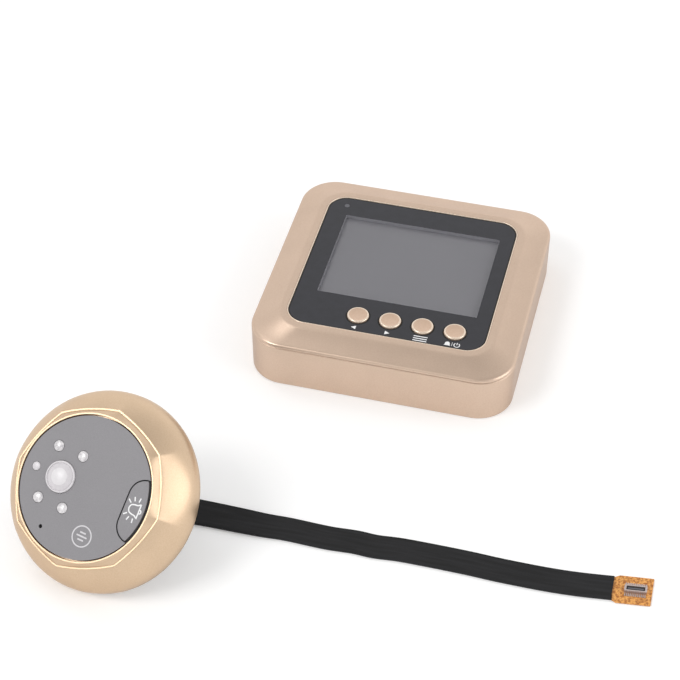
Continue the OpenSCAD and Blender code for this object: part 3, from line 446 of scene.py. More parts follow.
def layRibbon(plan):
    # flat section carried along the path: middle + u * across + w * out, where across leans by the tilt
    # and u, w run round a rounded strip
    start = (*onUnit(np.array(plan["gland"])), plan["glandTilt"])
    path = throughPoints([start] + plan["route"], 12)
    middle = path[:, :3]
    tilt = np.radians(path[:, 3])
    along = np.gradient(middle, axis=0)
    heading = math.radians(plan["heading"])
    along[0] = -facing
    along[-1] = (math.cos(heading), math.sin(heading), 0)
    along = unitRows(along)
    side = np.stack([0 * tilt, np.cos(tilt), np.sin(tilt)], -1)
    across = unitRows(side - np.sum(side * along, -1, keepdims=True) * along)
    out = np.cross(along, across)
    strip = roundedRings([(plan["width"] / 2, plan["thick"] / 2, plan["corner"], 0)], 6)[0]
    u, w = strip[:, :1], strip[:, 1:2]
    rings = middle[:, None] + u * across[:, None] + w * out[:, None]
    rings[-1] += plan["lean"] * u * along[-1]
    steps = np.linalg.norm(np.diff(middle, axis=0), axis=1)
    distance = np.concatenate([[0], np.cumsum(steps)])[:, None]
    lay = np.stack([distance + 0 * u[:, 0], u[:, 0] + 0 * distance, 0 * rings[..., 0]], -1)
    lay = np.concatenate([lay[:1], lay, lay[-1:]]).reshape(-1, 3)
    print("ribbon path", round(float(distance[-1, 0]), 1), "mm")
    return rings, lay, middle


ribbonRings, ribbonLay, ribbonMiddle = layRibbon(ribbon)
ribbonPiece = addPiece("ribbonSleeve", [(ribbonRings, False)], clothTape(tape), "outdoor_unit",
                       ["ribbon_cable"], lay=ribbonLay)

tail = {
    "start": (80.2, -93.3, 0.1),
    "long": 10.8,
    "wide": 9.6,
    "neck": 8.0,  # width where it leaves the sleeve
    "shoulder": 1.4,
    "thick": 0.3,
    "corner": 0.25,
    "inside": 0.3,  # how far it reaches into the sleeve
}


def onTail(rings):
    # tail's own frame (x along it) to the table: lean, turn by the heading, then move to its start
    heading = math.radians(ribbon["heading"])
    x, y, z = np.moveaxis(rings, -1, 0)
    x = x + ribbon["lean"] * y
    place = tail["start"]
    return np.stack([place[0] + x * math.cos(heading) - y * math.sin(heading),
                     place[1] + x * math.sin(heading) + y * math.cos(heading), place[2] + z], -1)


def tailOutline(t):
    # neck in the sleeve, shoulders, then two rounded corners
    half, neck, corner = t["wide"] / 2, t["neck"] / 2, t["corner"]
    return np.concatenate([
        [(-t["inside"], -neck), (0, -neck), (t["shoulder"], -half)],
        arcPath((t["long"] - corner, -half + corner), corner, -90, 0, 5),
        arcPath((t["long"] - corner, half - corner), corner, 0, 90, 5),
        [(t["shoulder"], half), (0, neck), (-t["inside"], neck)],
    ])


tailRings = onTail(plateRings(tailOutline(tail), 0, tail["thick"]))
tailPiece = addPiece("ribbonTail", [(tailRings, False)], polyimideFilm, "outdoor_unit",
                     ["ribbon_tail"])

plug = {
    "middle": 6.2,  # along the tail
    "half": (3.1, 1.05),  # half length, half width
    "high": 1.0,
    "wall": (0.55, 0.35),  # at its ends, along its sides
    "deep": 0.7,
    "core": (0.05, 0.15),  # gap round the core, its height
    "tongue": (2.2, 0.25, 0.2),  # half length, half width, distance below the rim
    "legs": 12,  # on each side
    "leg": (0.5, 0.16, 0.2),  # pitch, half width, height
    "legReach": (1.2, 2.3),  # from the plug's middle line: from, to
}


def plugParts(p):
    # open shell with a well, core and tongue standing in the well, contact legs in a row either side
    foot = tail["thick"]
    rim = foot + p["high"]
    well = rim - p["deep"]
    gap, coreHigh = p["core"]
    coreTop = well + coreHigh
    tongueLong, tongueWide, tongueDeep = p["tongue"]
    outer = rectangle(p["middle"], *p["half"])
    innerHalf = np.subtract(p["half"], p["wall"])
    inner = rectangle(p["middle"], *innerHalf)
    coreOutline = rectangle(p["middle"], *(innerHalf - gap))
    tongueOutline = rectangle(p["middle"], tongueLong, tongueWide)
    openShell = np.concatenate([plateRings(outer, foot, rim), plateRings(inner, rim, well)])
    pitch, legHalf, legHigh = p["leg"]
    near, far = p["legReach"]
    legXs = p["middle"] + pitch * (np.arange(p["legs"]) - (p["legs"] - 1) / 2)
    legs = [boxRings((x - legHalf, y0, foot), (x + legHalf, y1, foot + legHigh))
            for y0, y1 in ((-far, -near), (near, far)) for x in legXs]
    return [
        ("plugShell", [openShell], tinPlate),
        ("plugCore", [plateRings(coreOutline, well, coreTop)], blackNylon),
        ("plugTongue", [plateRings(tongueOutline, coreTop, rim - tongueDeep)], smokyAcrylic),
        ("plugPads", legs, tinPlate),
    ]


for plugName, plugSolids, plugMaterial in plugParts(plug):
    plugStands = ["ribbon_plug"] if plugName == "plugShell" else []
    addPiece(plugName, [(onTail(rings), False) for rings in plugSolids], plugMaterial,
                               "outdoor_unit", plugStands, boxEdge)
print("ribbon laid")


# monitor: bezel, case, buttons, window, print

monitor = {
    "case": (40.25, 39.5, 11.0),  # half width, half depth, corner radius
    "panel": (30.1, 29.6, 5.8),
    "panelTop": 17.8,
    "pocket": 16.6,  # floor of the panel's pocket
    "ledge": 15.4,  # underside of the ledge below it
    "ledgeReach": 1.2,
    "seam": 14.8,
    "gap": 0.3,
    "wall": 1.8,
    "floor": 2.0,
    "floorRing": 8.0,  # width of the flat ring just inside the case's edge
    "draft": 0.1,  # lean of the case's wall
    "backEdge": 0.5,  # roundings of the case
    "seamEdge": 0.4,
    "rim": 18.0,
    "rimWide": 2.7,
    "rimFlat": 2.02,  # flat part of it
    "creaseEdge": 0.35,  # rounding between rim and slope
    "shoulder": (1.0, 1.15),  # where the slope ends: in from the side, above the seam
    "shoulderFull": (0.95, 0.03),  # heights above the seam: fullest part of the shoulder, end of its rounding
    "slopeFrom": 0.06,  # share of the slope that the crease's rounding takes up
    "sag": 0.12,  # hollow of the slope
    "lip": (0.16, 0.6, 0.36),  # lip round the panel, in brighter gold as a painted highlight: from, to, depth
    "lipProud": 0.04,
    "lipRounds": (0.2, 0.16),  # widths of its inner and outer rounding
    "lipPlay": (0.02, 0.01),  # beside it, under it
    "tongue": (1.9, 3.1, 1.5),  # in from the side: from, to; depth below the seam
    "underRim": ((2.2, 16.5), (1.4, 16.4)),  # out from the panel, height of the rim's underside
    "arcSteps": 22,
}


def inset(outline, margin, height):
    # outline drawn in by a margin, corners and all
    return [outline[0] - margin, outline[1] - margin, outline[2] - margin, height]


def bezelRings(m):
    # closed profile, from the pocket's ledge over lip, rim, slope and shoulder to the tongue and back;
    # the slope is a straight line less sag * 4 s (1 - s)
    case, panel, rim, wide = m["case"], m["panel"], m["rim"], m["rimWide"]
    low = m["seam"] + m["gap"] / 2
    nearLip, farLip, lipDeep = m["lip"]
    nearTongue, farTongue, tongueDrop = m["tongue"]
    foot = m["seam"] - tongueDrop
    crease = np.array(inset(panel, -wide, rim))
    shoulder = np.array(inset(case, m["shoulder"][0], low + m["shoulder"][1]))
    s = np.linspace(0, 1, 14)[:, None]
    hollow = m["sag"] * 4 * s * (1 - s) * np.array([0, 0, 0, 1])
    slope = crease + (shoulder - crease) * (m["slopeFrom"] + (1 - m["slopeFrom"]) * s) - hollow
    creaseEdge = bend(crease - m["creaseEdge"] * np.array([1, 1, 1, 0]), crease, slope[0], 5)
    shoulderEdge = bend(slope[-1], *(inset(case, 0, low + up) for up in m["shoulderFull"]), 10)
    pocket = [inset(panel, m["ledgeReach"], m["ledge"]), inset(panel, m["ledgeReach"], m["pocket"]),
              inset(panel, -nearLip, m["pocket"]), inset(panel, -nearLip, rim - lipDeep),
              inset(panel, -farLip, rim - lipDeep), inset(panel, -farLip, rim),
              inset(panel, -m["rimFlat"], rim)]
    inside = [inset(case, 0, low), inset(case, nearTongue, low), inset(case, nearTongue, foot),
              inset(case, farTongue, foot), inset(case, farTongue, m["seam"]),
              *(inset(panel, -out, z) for out, z in m["underRim"]),
              inset(panel, -m["underRim"][1][0], m["ledge"])]
    profile = np.concatenate([pocket, creaseEdge, slope[1:-1], shoulderEdge, inside])
    return roundedRings(profile, m["arcSteps"])


def lipRings(m):
    # bead in the bezel's rebate: inner wall, rounded top a little above the rim, outer wall
    panel = m["panel"]
    nearLip, farLip, lipDeep = m["lip"]
    innerRound, outerRound = m["lipRounds"]
    playBeside, playUnder = m["lipPlay"]
    high = m["rim"] + m["lipProud"]
    low = m["rim"] - lipDeep + playUnder
    innerWall, outerWall = -nearLip, playBeside - farLip
    inside = bend(inset(panel, innerWall, low), inset(panel, innerWall, high),
                  inset(panel, innerWall - innerRound, high), 7)
    outside = bend(inset(panel, outerWall + outerRound, high), inset(panel, outerWall, high),
                   inset(panel, outerWall, low), 6)
    return roundedRings(np.concatenate([inside, outside]), m["arcSteps"])


def caseRings(m):
    # outside from the back face over its rounded edge and drafted wall to the eased seam, then inside
    case, draft, backEdge, seamEdge = m["case"], m["draft"], m["backEdge"], m["seamEdge"]
    top = m["seam"] - m["gap"] / 2
    step = 0.05  # between a rounding and the flat beside it
    backRound = bend(inset(case, draft + backEdge, 0), inset(case, draft, 0),
                     inset(case, draft, backEdge), 8)
    seamRound = bend(inset(case, 0, top - seamEdge), inset(case, 0, top), inset(case, seamEdge, top), 6)
    wall = np.linspace(inset(case, draft, backEdge + step), inset(case, 0, top - seamEdge - step), 5)
    outside = [inset(case, m["floorRing"], 0), inset(case, draft + backEdge + step, 0)]
    inside = [inset(case, m["wall"], top), inset(case, m["wall"], m["floor"]),
              inset(case, m["floorRing"], m["floor"])]
    return roundedRings(np.concatenate([outside, backRound, wall, seamRound, inside]), m["arcSteps"])


bezelPiece = addPiece("bezelShell", [(bezelRings(monitor), True)], champagneLacquer, "monitor",
                      ["front_bezel"])
# the lip is drawn in brighter gold: a painted highlight line round the panel
addPiece("bezelLip", [(lipRings(monitor), True)], highlightGold, "monitor")
casePiece = addPiece("caseTub", [(caseRings(monitor), False)], champagneLacquer, "monitor",
                     ["rear_case"])

backSide = {
    "bay": ((-25.25, 4.3), (25.25, 37.1)),  # battery bay's corners
    "bayTop": 12.3,
    "bayCeiling": 13.0,
    "bayRear": 38.2,  # where the bay's walls meet the case
    "rib": 1.2,  # walls round bay, ribbon window and speaker
    "ribFoot": 1.5,  # height in the floor from which they rise
    "doorWay": 1.6,  # height of the door's way out
    "doorEnd": 60.0,  # the way is cut this far
    "groove": (0.5, 1.3, 1.3),  # door tongue's groove: low, high, reach
    "window": (14.0, -20.0, 8.5, 6.0),  # ribbon window: middle, half sizes
    "windowTop": 8.9,  # of its walls
    "board": 9.0,  # underside of the main board
    "speaker": (-16.0, -20.0, 9.1, 4.0),  # middle, radius, top of its wall
    "slots": 5,  # in front of the speaker
    "slot": (5.5, 0.6, 2.6),  # half length, half width, pitch
    "screws": (33.05, 32.3),  # x and y either side of the middle
    "screwTube": (3.4, 5.0),  # radius, top
    "screwHead": (2.3, 2.6),  # radius, depth
    "screwHole": 1.3,
    "keyholes": (33.0, 9.0),  # x either side, y
    "keyhole": (3.5, 1.9, 7.0),  # radius for the head, for the neck, distance between them
    "boardPosts": (30.95, -16.7, 2.4),  # x either side, y, radius
    "over": 1.0,  # cutters go past a face by this, or by twice this
}


def screwSpots(b):
    # one near each corner
    return [(i * b["screws"][0], j * b["screws"][1]) for i in (-1, 1) for j in (-1, 1)]


def addedToCase(b):
    # walls of bay, ribbon window and speaker, tubes for the case screws, posts for the board
    (x0, y0), x1 = b["bay"][0], b["bay"][1][0]
    rib, foot = b["rib"], b["ribFoot"]
    wx, wy, wHalf, wDeep = b["window"]
    sx, sy, sr, sTop = b["speaker"]
    tubeR, tubeTop = b["screwTube"]
    postX, postY, postR = b["boardPosts"]
    return [
        boxRings((x0 - rib, y0 - rib, foot), (x1 + rib, b["bayRear"], b["bayCeiling"])),
        boxRings((wx - wHalf - rib, wy - wDeep - rib, foot),
                 (wx + wHalf + rib, wy + wDeep + rib, b["windowTop"])),
        turnedRings([(sr + rib, foot), (sr + rib, sTop)], 64, (sx, sy)),
        *(turnedRings([(tubeR, foot), (tubeR, tubeTop)], 40, spot) for spot in screwSpots(b)),
        *(turnedRings([(postR, foot), (postR, b["board"])], 32, (i * postX, postY)) for i in (-1, 1)),
    ]


def cutFromCase(b, floorTop):
    # bay, the door's way and grooves, ribbon window, speaker and its slots, screw holes, keyholes
    (x0, y0), (x1, y1) = b["bay"]
    grooveLow, grooveHigh, reach = b["groove"]
    wx, wy, wHalf, wDeep = b["window"]
    sx, sy, sr, sTop = b["speaker"]
    slotHalf, slotWide, slotPitch = b["slot"]
    slotYs = [sy + (k - (b["slots"] - 1) / 2) * slotPitch for k in range(b["slots"])]
    headR, headDeep = b["screwHead"]
    holeR, tubeTop = b["screwHole"], b["screwTube"][1]
    bigR, neckR, neckAt = b["keyhole"]
    neckTurn = round(math.degrees(math.asin(neckR / bigR)))  # where the neck meets the head's circle
    keyhole = np.concatenate([arcPath((0, 0), bigR, 90 + neckTurn, 450 - neckTurn, 30),
                              arcPath((0, neckAt), neckR, 0, 180, 16)])
    keyX, keyY = b["keyholes"]
    over = b["over"]
    screw = [(headR, -over), (headR, headDeep), (holeR, headDeep), (holeR, tubeTop + 2 * over)]
    return [
        boxRings((x0, y0, -over), (x1, y1, b["bayTop"])),
        boxRings((x0, y0, -over), (x1, b["doorEnd"], b["doorWay"])),
        boxRings((x0 - reach, y0, grooveLow), (x1 + reach, b["doorEnd"], grooveHigh)),
        boxRings((wx - wHalf, wy - wDeep, -over), (wx + wHalf, wy + wDeep, b["board"] + over)),
        turnedRings([(sr, floorTop), (sr, sTop + 2 * over)], 64, (sx, sy)),
        *(boxRings((sx - slotHalf, y - slotWide, -over), (sx + slotHalf, y + slotWide, floorTop + over))
          for y in slotYs),
        *(turnedRings(screw, 40, spot) for spot in screwSpots(b)),
        *(plateRings(keyhole + (i * keyX, keyY), -over, floorTop + 2 * over) for i in (-1, 1)),
    ]


carve(casePiece, "UNION", addedToCase(backSide))
carve(casePiece, "DIFFERENCE", cutFromCase(backSide, monitor["floor"]))
print("case and bezel built:", len(casePiece.data.polygons) + len(bezelPiece.data.polygons), "faces")

buttons = {
    "names": ("left", "right", "menu", "power"),
    "first": -9.005,  # x of the left one
    "pitch": 9.87,
    "y": -23.0,
    "radius": 3.3,
    "top": 18.5,
    "edge": 0.6,  # width and depth of the ring round the top
    "land": 0.04,  # from that ring down to the cap
    "dish": 0.16,  # from there down to the cap's middle
    "stem": (1.6, 15.4),  # radius, lower end
    "flange": (4.2, 15.6, 16.4),  # radius, underside, top
    "well": (3.5, 3.78),  # ring of painted shade in the panel round a button
    "ring": (0.05, 0.15, 0.02, 0.03),  # edge ring: foot of its rounding, land, play, drop of its inner edge
}
buttonXs = [buttons["first"] + k * buttons["pitch"] for k in range(len(buttons["names"]))]


def buttonProfile(b):
    # (r, z) from the stem up over the flange to the seat of the edge ring, then into a shallow dish:
    # z = rim - dish * (1 - (r/R)^2)
    stemR, stemLow = b["stem"]
    flangeR, flangeLow, flangeTop = b["flange"]
    seat = b["top"] - b["edge"]
    r = np.linspace(b["radius"] - b["edge"], 0, 10)
    dish = np.column_stack([r, b["top"] - b["land"] - b["dish"] * (1 - (r / r[0]) ** 2)])
    stem = [(0, stemLow), (stemR, stemLow), (stemR, flangeLow), (flangeR, flangeLow), (flangeR, flangeTop),
            (b["radius"], flangeTop), (b["radius"], seat), (r[0], seat)]
    return np.concatenate([stem, dish])


def edgeProfile(b):
    # (r, z) of the ring round a button's top: outer wall, rounding, narrow land, inner wall
    foot, land, play, drop = b["ring"]
    outer, top = b["radius"], b["top"]
    inner, low = outer - b["edge"], top - b["edge"]
    rounding = bend((outer, low + foot), (outer, top), (inner + land, top), 9)
    return np.concatenate([[(outer, low)], rounding, [(inner + play, top - drop), (inner + play, low)]])


for buttonName, buttonX in zip(buttons["names"], buttonXs):
    body = f"button_{buttonName}"
    capRings = turnedRings(buttonProfile(buttons), 64, (buttonX, buttons["y"]))
    edgeRings = turnedRings(edgeProfile(buttons), 64, (buttonX, buttons["y"]))
    addPiece(f"{buttonName}Button", [(capRings, False)], anodisedGold, body, [body])
    # the ring round each cap is drawn in brighter gold: a painted highlight on its edge
    addPiece(f"{buttonName}Edge", [(edgeRings, True)], highlightGold, body)

window = {
    "low": (-23.8, -15.05),  # corners of the clear window
    "high": (25.6, 21.45),
    "sheet": (16.4, 16.54),  # film close under the window: underside, top
    "border": (0.75, 0.85),  # darker film along the left and rear edges: painted shade where the recess's walls show
    "paint": (16.6, 17.78),  # grey paint on the window's edges, part of the same painted shade: from, to
    "paintLayer": (0.03, 0.08),  # in from the window's edge
    "corner": 0.2,
}


def filmSolids(w):
    # grey film, then the painted shade of the recess: two border strips and a painted ring round the window's
    # sides
    (left, front), (right, rear) = w["low"], w["high"]
    sheetLow, sheetHigh = w["sheet"]
    paintLow, paintHigh = w["paint"]
    paintOut, paintIn = w["paintLayer"]
    filmLeft, filmRear = left + w["border"][0], rear - w["border"][1]
    film = boxRings((filmLeft, front, sheetLow), (right, filmRear, sheetHigh))
    rearStrip = boxRings((left, filmRear, sheetLow), (right, rear, sheetHigh))
    leftStrip = boxRings((left, front, sheetLow), (filmLeft, filmRear, sheetHigh))
    outline = ((right - left) / 2, (rear - front) / 2, w["corner"])
    paint = roundedRings([inset(outline, paintOut, paintLow), inset(outline, paintOut, paintHigh),
                          inset(outline, paintIn, paintHigh), inset(outline, paintIn, paintLow)], 6)
    paint = paint + ((left + right) / 2, (front + rear) / 2, 0)
    return [(film, False)], [(rearStrip, False), (leftStrip, False), (paint, True)]


filmSolid, frameSolids = filmSolids(window)
addPiece("displayFilm", filmSolid, polariserFilm, "monitor", sharp=boxEdge)
# strips and edge paint in darker grey: painted shade of the window's recess
addPiece("displayRecessShade", frameSolids, recessShadeInk, "monitor", sharp=boxEdge)

signs = {
    "layer": (monitor["panelTop"] - 0.01, monitor["panelTop"] + 0.02),  # underside, top of the print
    "panelEdge": 0.22,  # painted shade line round the panel
    "y": -28.1,
    "arrow": ((-0.85, 0), (0.6, -0.75), (0.6, 0.75)),
    "arrowShift": 0.1,  # away from each other
    "bars": (2.1, 0.18, 0.9),  # list sign: half length, half width, spacing
    "barShift": 0.4,
    "bell": (0.7, 0.15),  # small bell: radius, height of its middle
    "bellSkirt": ((0.8, -0.5), (1.0, -0.7), (-1.0, -0.7), (-0.8, -0.5)),
    "bellShift": -1.2,
    "divider": (0.07, 0.75),  # half width, half height
    "dividerShift": 0.2,
    "power": (0.85, 0.26, 125, 415),  # ring: radius, line, from and to in degrees
    "powerShift": (1.65, -0.05),
    "powerBar": (0.13, 0.05, 1.0),  # half width, from, to
}


def printed(glyph, x, y):
    # flat glyph moved to its place on the panel
    return plateRings(np.asarray(glyph, float) + (x, y), *signs["layer"]), False


def panelSigns(g):
    # two arrows, a list, a small bell and a power sign, each under its button
    left, right, menu, power = buttonXs
    y = g["y"]
    arrow = np.array(g["arrow"])
    barHalf, barWide, barStep = g["bars"]
    marks = [printed(arrow, left - g["arrowShift"], y), printed(-arrow, right + g["arrowShift"], y)]
    bar = rectangle(0, barHalf, barWide)
    marks += [printed(bar, menu + g["barShift"], y + k * barStep) for k in (-1, 0, 1)]
    bellR, bellUp = g["bell"]
    smallBell = np.concatenate([arcPath((0, bellUp), bellR, 180, 0, 12), g["bellSkirt"]])
    marks.append(printed(smallBell, power + g["bellShift"], y))
    lineHalf, lineHigh = g["divider"]
    marks.append(printed(rectangle(0, lineHalf, lineHigh), power + g["dividerShift"], y))
    middle = (power + g["powerShift"][0], y + g["powerShift"][1])
    powerR, powerLine, fromAngle, toAngle = g["power"]
    ring = arcPath(middle, powerR, fromAngle, toAngle, 30)
    marks.append((strokeRings(ring, powerLine, *g["layer"]), False))
    barSide, barLow, barHigh = g["powerBar"]
    stem = [(-barSide, barLow), (barSide, barLow), (barSide, barHigh), (-barSide, barHigh)]
    marks.append(printed(stem, *middle))
    return marks


def gapShadeLines(g):
    # thin flat black rings of painted shade for the gaps round the buttons and along the panel's edge
    low, high = g["layer"]
    nearR, farR = buttons["well"]
    wellRow = [(nearR, low), (farR, low), (farR, high), (nearR, high)]
    lines = [(turnedRings(wellRow, 64, (x, buttons["y"])), True) for x in buttonXs]
    edge = [(g["panelEdge"], low), (0, low), (0, high), (g["panelEdge"], high)]
    edgeRows = [inset(monitor["panel"], margin, z) for margin, z in edge]
    return lines + [(roundedRings(edgeRows, monitor["arcSteps"]), True)]


# black rings printed over the gaps: painted shade
addPiece("gapShadeRings", gapShadeLines(signs), blackRubberAndGapShade, "monitor")
addPiece("panelPrint", panelSigns(signs), whiteInk, "monitor")
print("buttons, window and print done")


# outdoor unit: shell, lens, lamps, sensor, bell button, print

shell = {
    "radius": 27.75,
    "rearEdge": ((-0.5, 0), (-0.15, 0.2), (0, 0.5), (0, 1.9)),  # out from the radius, height
    "band": 2.0,
    "swell": 4.2,  # rise of the dome's control point above the band
    "ridge": (22.68, 12.14, 0.49),  # corner radius, height, roundness
    "ridgeEdge": ((0.03, -0.06), (0, 0.16), (-0.12, 0.2)),  # offsets from the ridge: rounded outer edge
    "ridgeCrease": ((-0.5, 0.2), (-0.58, 0.18), (-0.62, 0.3)),  # and the crease behind its land
    "domeShare": 0.97,  # of the dome's curve, up to the ridge's edge
    "lip": (19.95, 14.45),  # radius, height
    "lipOuter": ((0.4, -0.26), (0.32, -0.02), (0.2, 0)),  # offsets from the lip: up from the valley
    "lipInner": ((-0.08, 0), (-0.2, 0), (-0.2, -0.12)),  # and down into the pocket
    "lipTrim": (0.24, -0.09),  # painted highlight band on it, out from its radius: from, to
    "trimLayer": (-0.01, 0.02),  # of the painted highlight bands, above their lands
    "pocket": 19.75,
    "seat": (17.3, 12.1, 10.5),  # radius, top, underside
    "inside": ((24.4, 2.2), (25.1, 2.2), (25.1, 0)),
    "insideTop": 20.8,  # radius of the hollow under the seat
    "face": 14.3,
    "points": 320,  # round a ring
}
face = shell["face"]


def octagonRings(rows):
    # rows of corner radius, height, roundness about the unit's axis; the radius at an angle is
    # corner / ((1 - roundness) * cos(a mod 45 - 22.5) / cos 22.5 + roundness), a soft octagon
    corner, height, roundness = np.asarray(rows, float).T[:, :, None]
    a = np.linspace(0, 360, shell["points"], endpoint=False)
    side = np.cos(np.radians(a % 45 - 22.5)) / np.cos(np.radians(22.5))
    r = corner / ((1 - roundness) * side + roundness)
    return np.stack([r * np.cos(np.radians(a)), r * np.sin(np.radians(a)), height + 0 * a], -1)


def domeRows(s):
    # quadratic curve from the band, straight up, to the ridge; its roundness falls with t^3
    ridgeR, ridgeZ, ridgeRound = s["ridge"]
    t = np.linspace(0, 1, 30)[:, None]
    t = t[t[:, 0] < s["domeShare"]]
    corner = s["radius"] - t ** 2 * (s["radius"] - ridgeR)
    height = s["band"] + 2 * t * (1 - t) * s["swell"] + t ** 2 * (ridgeZ - s["band"])
    return np.hstack([corner, height, 1 - (1 - ridgeRound) * t ** 3])


def besideCorner(corner, offsets):
    # rows given by their offsets (radius, height) from a corner row
    return np.array(corner) + np.column_stack([offsets, np.zeros(len(offsets))])


def shellRings(s):
    # rear band, dome, ridge, ring, lip and pocket, then the inside; a row's last value is its roundness
    rearBand = besideCorner((s["radius"], 0, 1), s["rearEdge"])
    edge, crease = (besideCorner(s["ridge"], s[part]) for part in ("ridgeEdge", "ridgeCrease"))
    lipOuter, lipInner = (besideCorner((*s["lip"], 1), s[part]) for part in ("lipOuter", "lipInner"))
    ring = crease[2] + (lipOuter[0] - crease[2]) * np.linspace(0.04, 0.96, 8)[:, None]
    seatR, seatTop, seatLow = s["seat"]
    inside = [(s["pocket"], seatTop), (seatR, seatTop), (seatR, seatLow), (s["insideTop"], seatLow),
              *s["inside"]]
    return octagonRings(np.concatenate([
        rearBand, domeRows(s), bend(*edge, 7), bend(*crease, 5), ring, bend(*lipOuter, 6), bend(*lipInner, 5),
        np.column_stack([inside, np.ones(len(inside))]),
    ]))


def trimRings(outer, inner, land, roundness):
    # flat band of painted highlight on a land
    low, high = (land + up for up in shell["trimLayer"])
    return octagonRings([(outer, low, roundness), (outer, high, roundness),
                         (inner, high, roundness), (inner, low, roundness)])


def shellTrims(s):
    # painted highlight bands on the ridge's land, between its edge and its crease, and on the lip
    ridgeR, ridgeZ, ridgeRound = s["ridge"]
    landOut, landUp = s["ridgeEdge"][2]
    lipR, lipZ = s["lip"]
    return [trimRings(ridgeR + landOut, ridgeR + s["ridgeCrease"][0][0], ridgeZ + landUp, ridgeRound),
            trimRings(lipR + s["lipTrim"][0], lipR + s["lipTrim"][1], lipZ, 1)]


addPiece("domeShell", [(onUnit(shellRings(shell)), True)], goldLacquer, "outdoor_unit",
         ["dome_shell"])
# bright bands on the ridge and the lip: painted highlight lines
addPiece("highlightTrims", [(onUnit(rings), True) for rings in shellTrims(shell)], ridgeHighlightGold, "outdoor_unit")

optics = {
    "lens": (-7.8, 0.0),
    "lensRadius": 4.4,
    "lensRise": 1.3,
    "lensFoot": 0.3,  # height of the dome's edge above the face
    "lensRim": 0.66,  # from the lens's side to the dome's edge
    "rimOuter": ((0, 0.1), (0, 0.5), (-0.25, 0.5)),  # offsets from its side at the face: rounded rim
    "rimInner": ((-0.3, 0.5), (-0.5, 0.5), (-0.54, 0.25)),  # and down into the groove
    "groove": (-0.62, 0.25),  # its far side
    "brim": (1.0, 2.2, 3.2),  # under the plate: reach, depth of its top and of its underside
    "crownRadius": 2.35,
    "crownFoot": 0.5,  # above the face
    "crownProud": 0.03,
    "lampOrbit": 8.45,
    "lampAngles": (62, 118, 242, 298),
    "lampRadius": 1.5,
    "lampRise": 0.5,
    "lampDeep": 5.6,  # bodies below the face
    "lampEase": 0.05,  # step under their caps
    "sensor": (-15.8, 0.0),
    "sensorRadius": 1.2,
    "sensorRise": 0.25,
    "mic": (-7.8, -14.3),
    "micRadius": 0.53,
    "micDepth": (1.2, 0.35),  # felt below the face: from, to
}


def domeHeight(o, r):
    # z = foot + (rise - foot) * (1 - (r/R)^2)
    foot, edge = o["lensFoot"], o["lensRadius"] - o["lensRim"]
    return face + foot + (o["lensRise"] - foot) * (1 - (r / edge) ** 2)


def lensProfile(o):
    # brim under the plate, rounded rim, groove, then the dome
    outer = o["lensRadius"]
    reach, brimTop, brimLow = o["brim"]
    brim = [(0, face - brimLow), (outer + reach, face - brimLow), (outer + reach, face - brimTop),
            (outer, face - brimTop)]
    side = np.array([outer, face])
    r = np.linspace(outer - o["lensRim"], 0, 20)
    dome = np.column_stack([r, domeHeight(o, r)])
    return np.concatenate([brim, bend(*(side + o["rimOuter"]), 6), bend(*(side + o["rimInner"]), 6),
                           [side + o["groove"]], dome])


def crownProfile(o):
    # middle of the lens, a little proud of the same dome: the disc of painted highlight
    r = np.linspace(o["crownRadius"], 0, 14)
    cap = np.column_stack([r, domeHeight(o, r) + o["crownProud"]])
    foot = face + o["crownFoot"]
    return np.concatenate([[(0, foot), (r[0], foot)], cap])


def lampProfile(o, radius, rise):
    # body with an eased rim and a low dome: z = rise * sqrt(1 - (r/R)^2)
    a = np.radians(np.linspace(0, 90, 12))
    cap = np.column_stack([radius * np.cos(a), face + rise * np.sin(a)])
    foot = face - o["lampDeep"]
    return np.concatenate([[(0, foot), (radius, foot), (radius, face - o["lampEase"])], cap])


lampShape = lampProfile(optics, optics["lampRadius"], optics["lampRise"])
sensorShape = lampProfile(optics, optics["sensorRadius"], optics["sensorRise"])
feltShape = [(optics["micRadius"], face - depth) for depth in optics["micDepth"]]
lampSpots = [arcPath(optics["lens"], optics["lampOrbit"], a, a, 1)[0] for a in optics["lampAngles"]]
facePieces = (  # name, profile, points round it, spots, material, slot, node that it stands for
    ("frontLens", lensProfile(optics), 96, [optics["lens"]], frostedAcrylic, "lens", ["camera_lens"]),
    # the lens's middle in paler acrylic: a painted highlight
    ("lensHighlightCap", crownProfile(optics), 64, [optics["lens"]], lensHighlightAcrylic, "lens", []),
    ("infraredLamps", lampShape, 40, lampSpots, lampEpoxy, "lamp_clear", ["ir_lamps"]),
    ("lightSensor", sensorShape, 40, [optics["sensor"]], frostedAcrylic, "lamp_clear", ["light_sensor"]),
    # black felt in the microphone's hole, also painted shade
    ("microphoneFelt", feltShape, 32, [optics["mic"]], blackFelt, "capsule_metal", []),
)
for pieceName, profile, steps, spots, material, slotName, stands in facePieces:
    solids = [(onUnit(turnedRings(profile, steps, spot)), False) for spot in spots]
    addPiece(pieceName, solids, material, "outdoor_unit", stands)

bell = {
    "left": 12.9,  # from the unit's axis
    "half": (8.0, 8.5),  # half length before the rim trims it, half width
    "corner": 4.5,
    "middle": 16.0,  # rays that trim its outline start here
    "rim": 18.9,  # radius of its outer edge
    "gap": 0.35,
    "thick": 1.5,
    "easing": ((0, 0.2), (0.02, 0.08), (0.08, 0.02), (0.2, 0)),  # rounded top edge: in, below the face
    "linerGap": 0.08,  # between the cap and the black liner of painted shade round it
    "liner": (0.4, 1.2),  # liner below the face: from, to
    "linerPlay": (0.02, 0.05),  # outside it, at its straight sides and at the shell
}


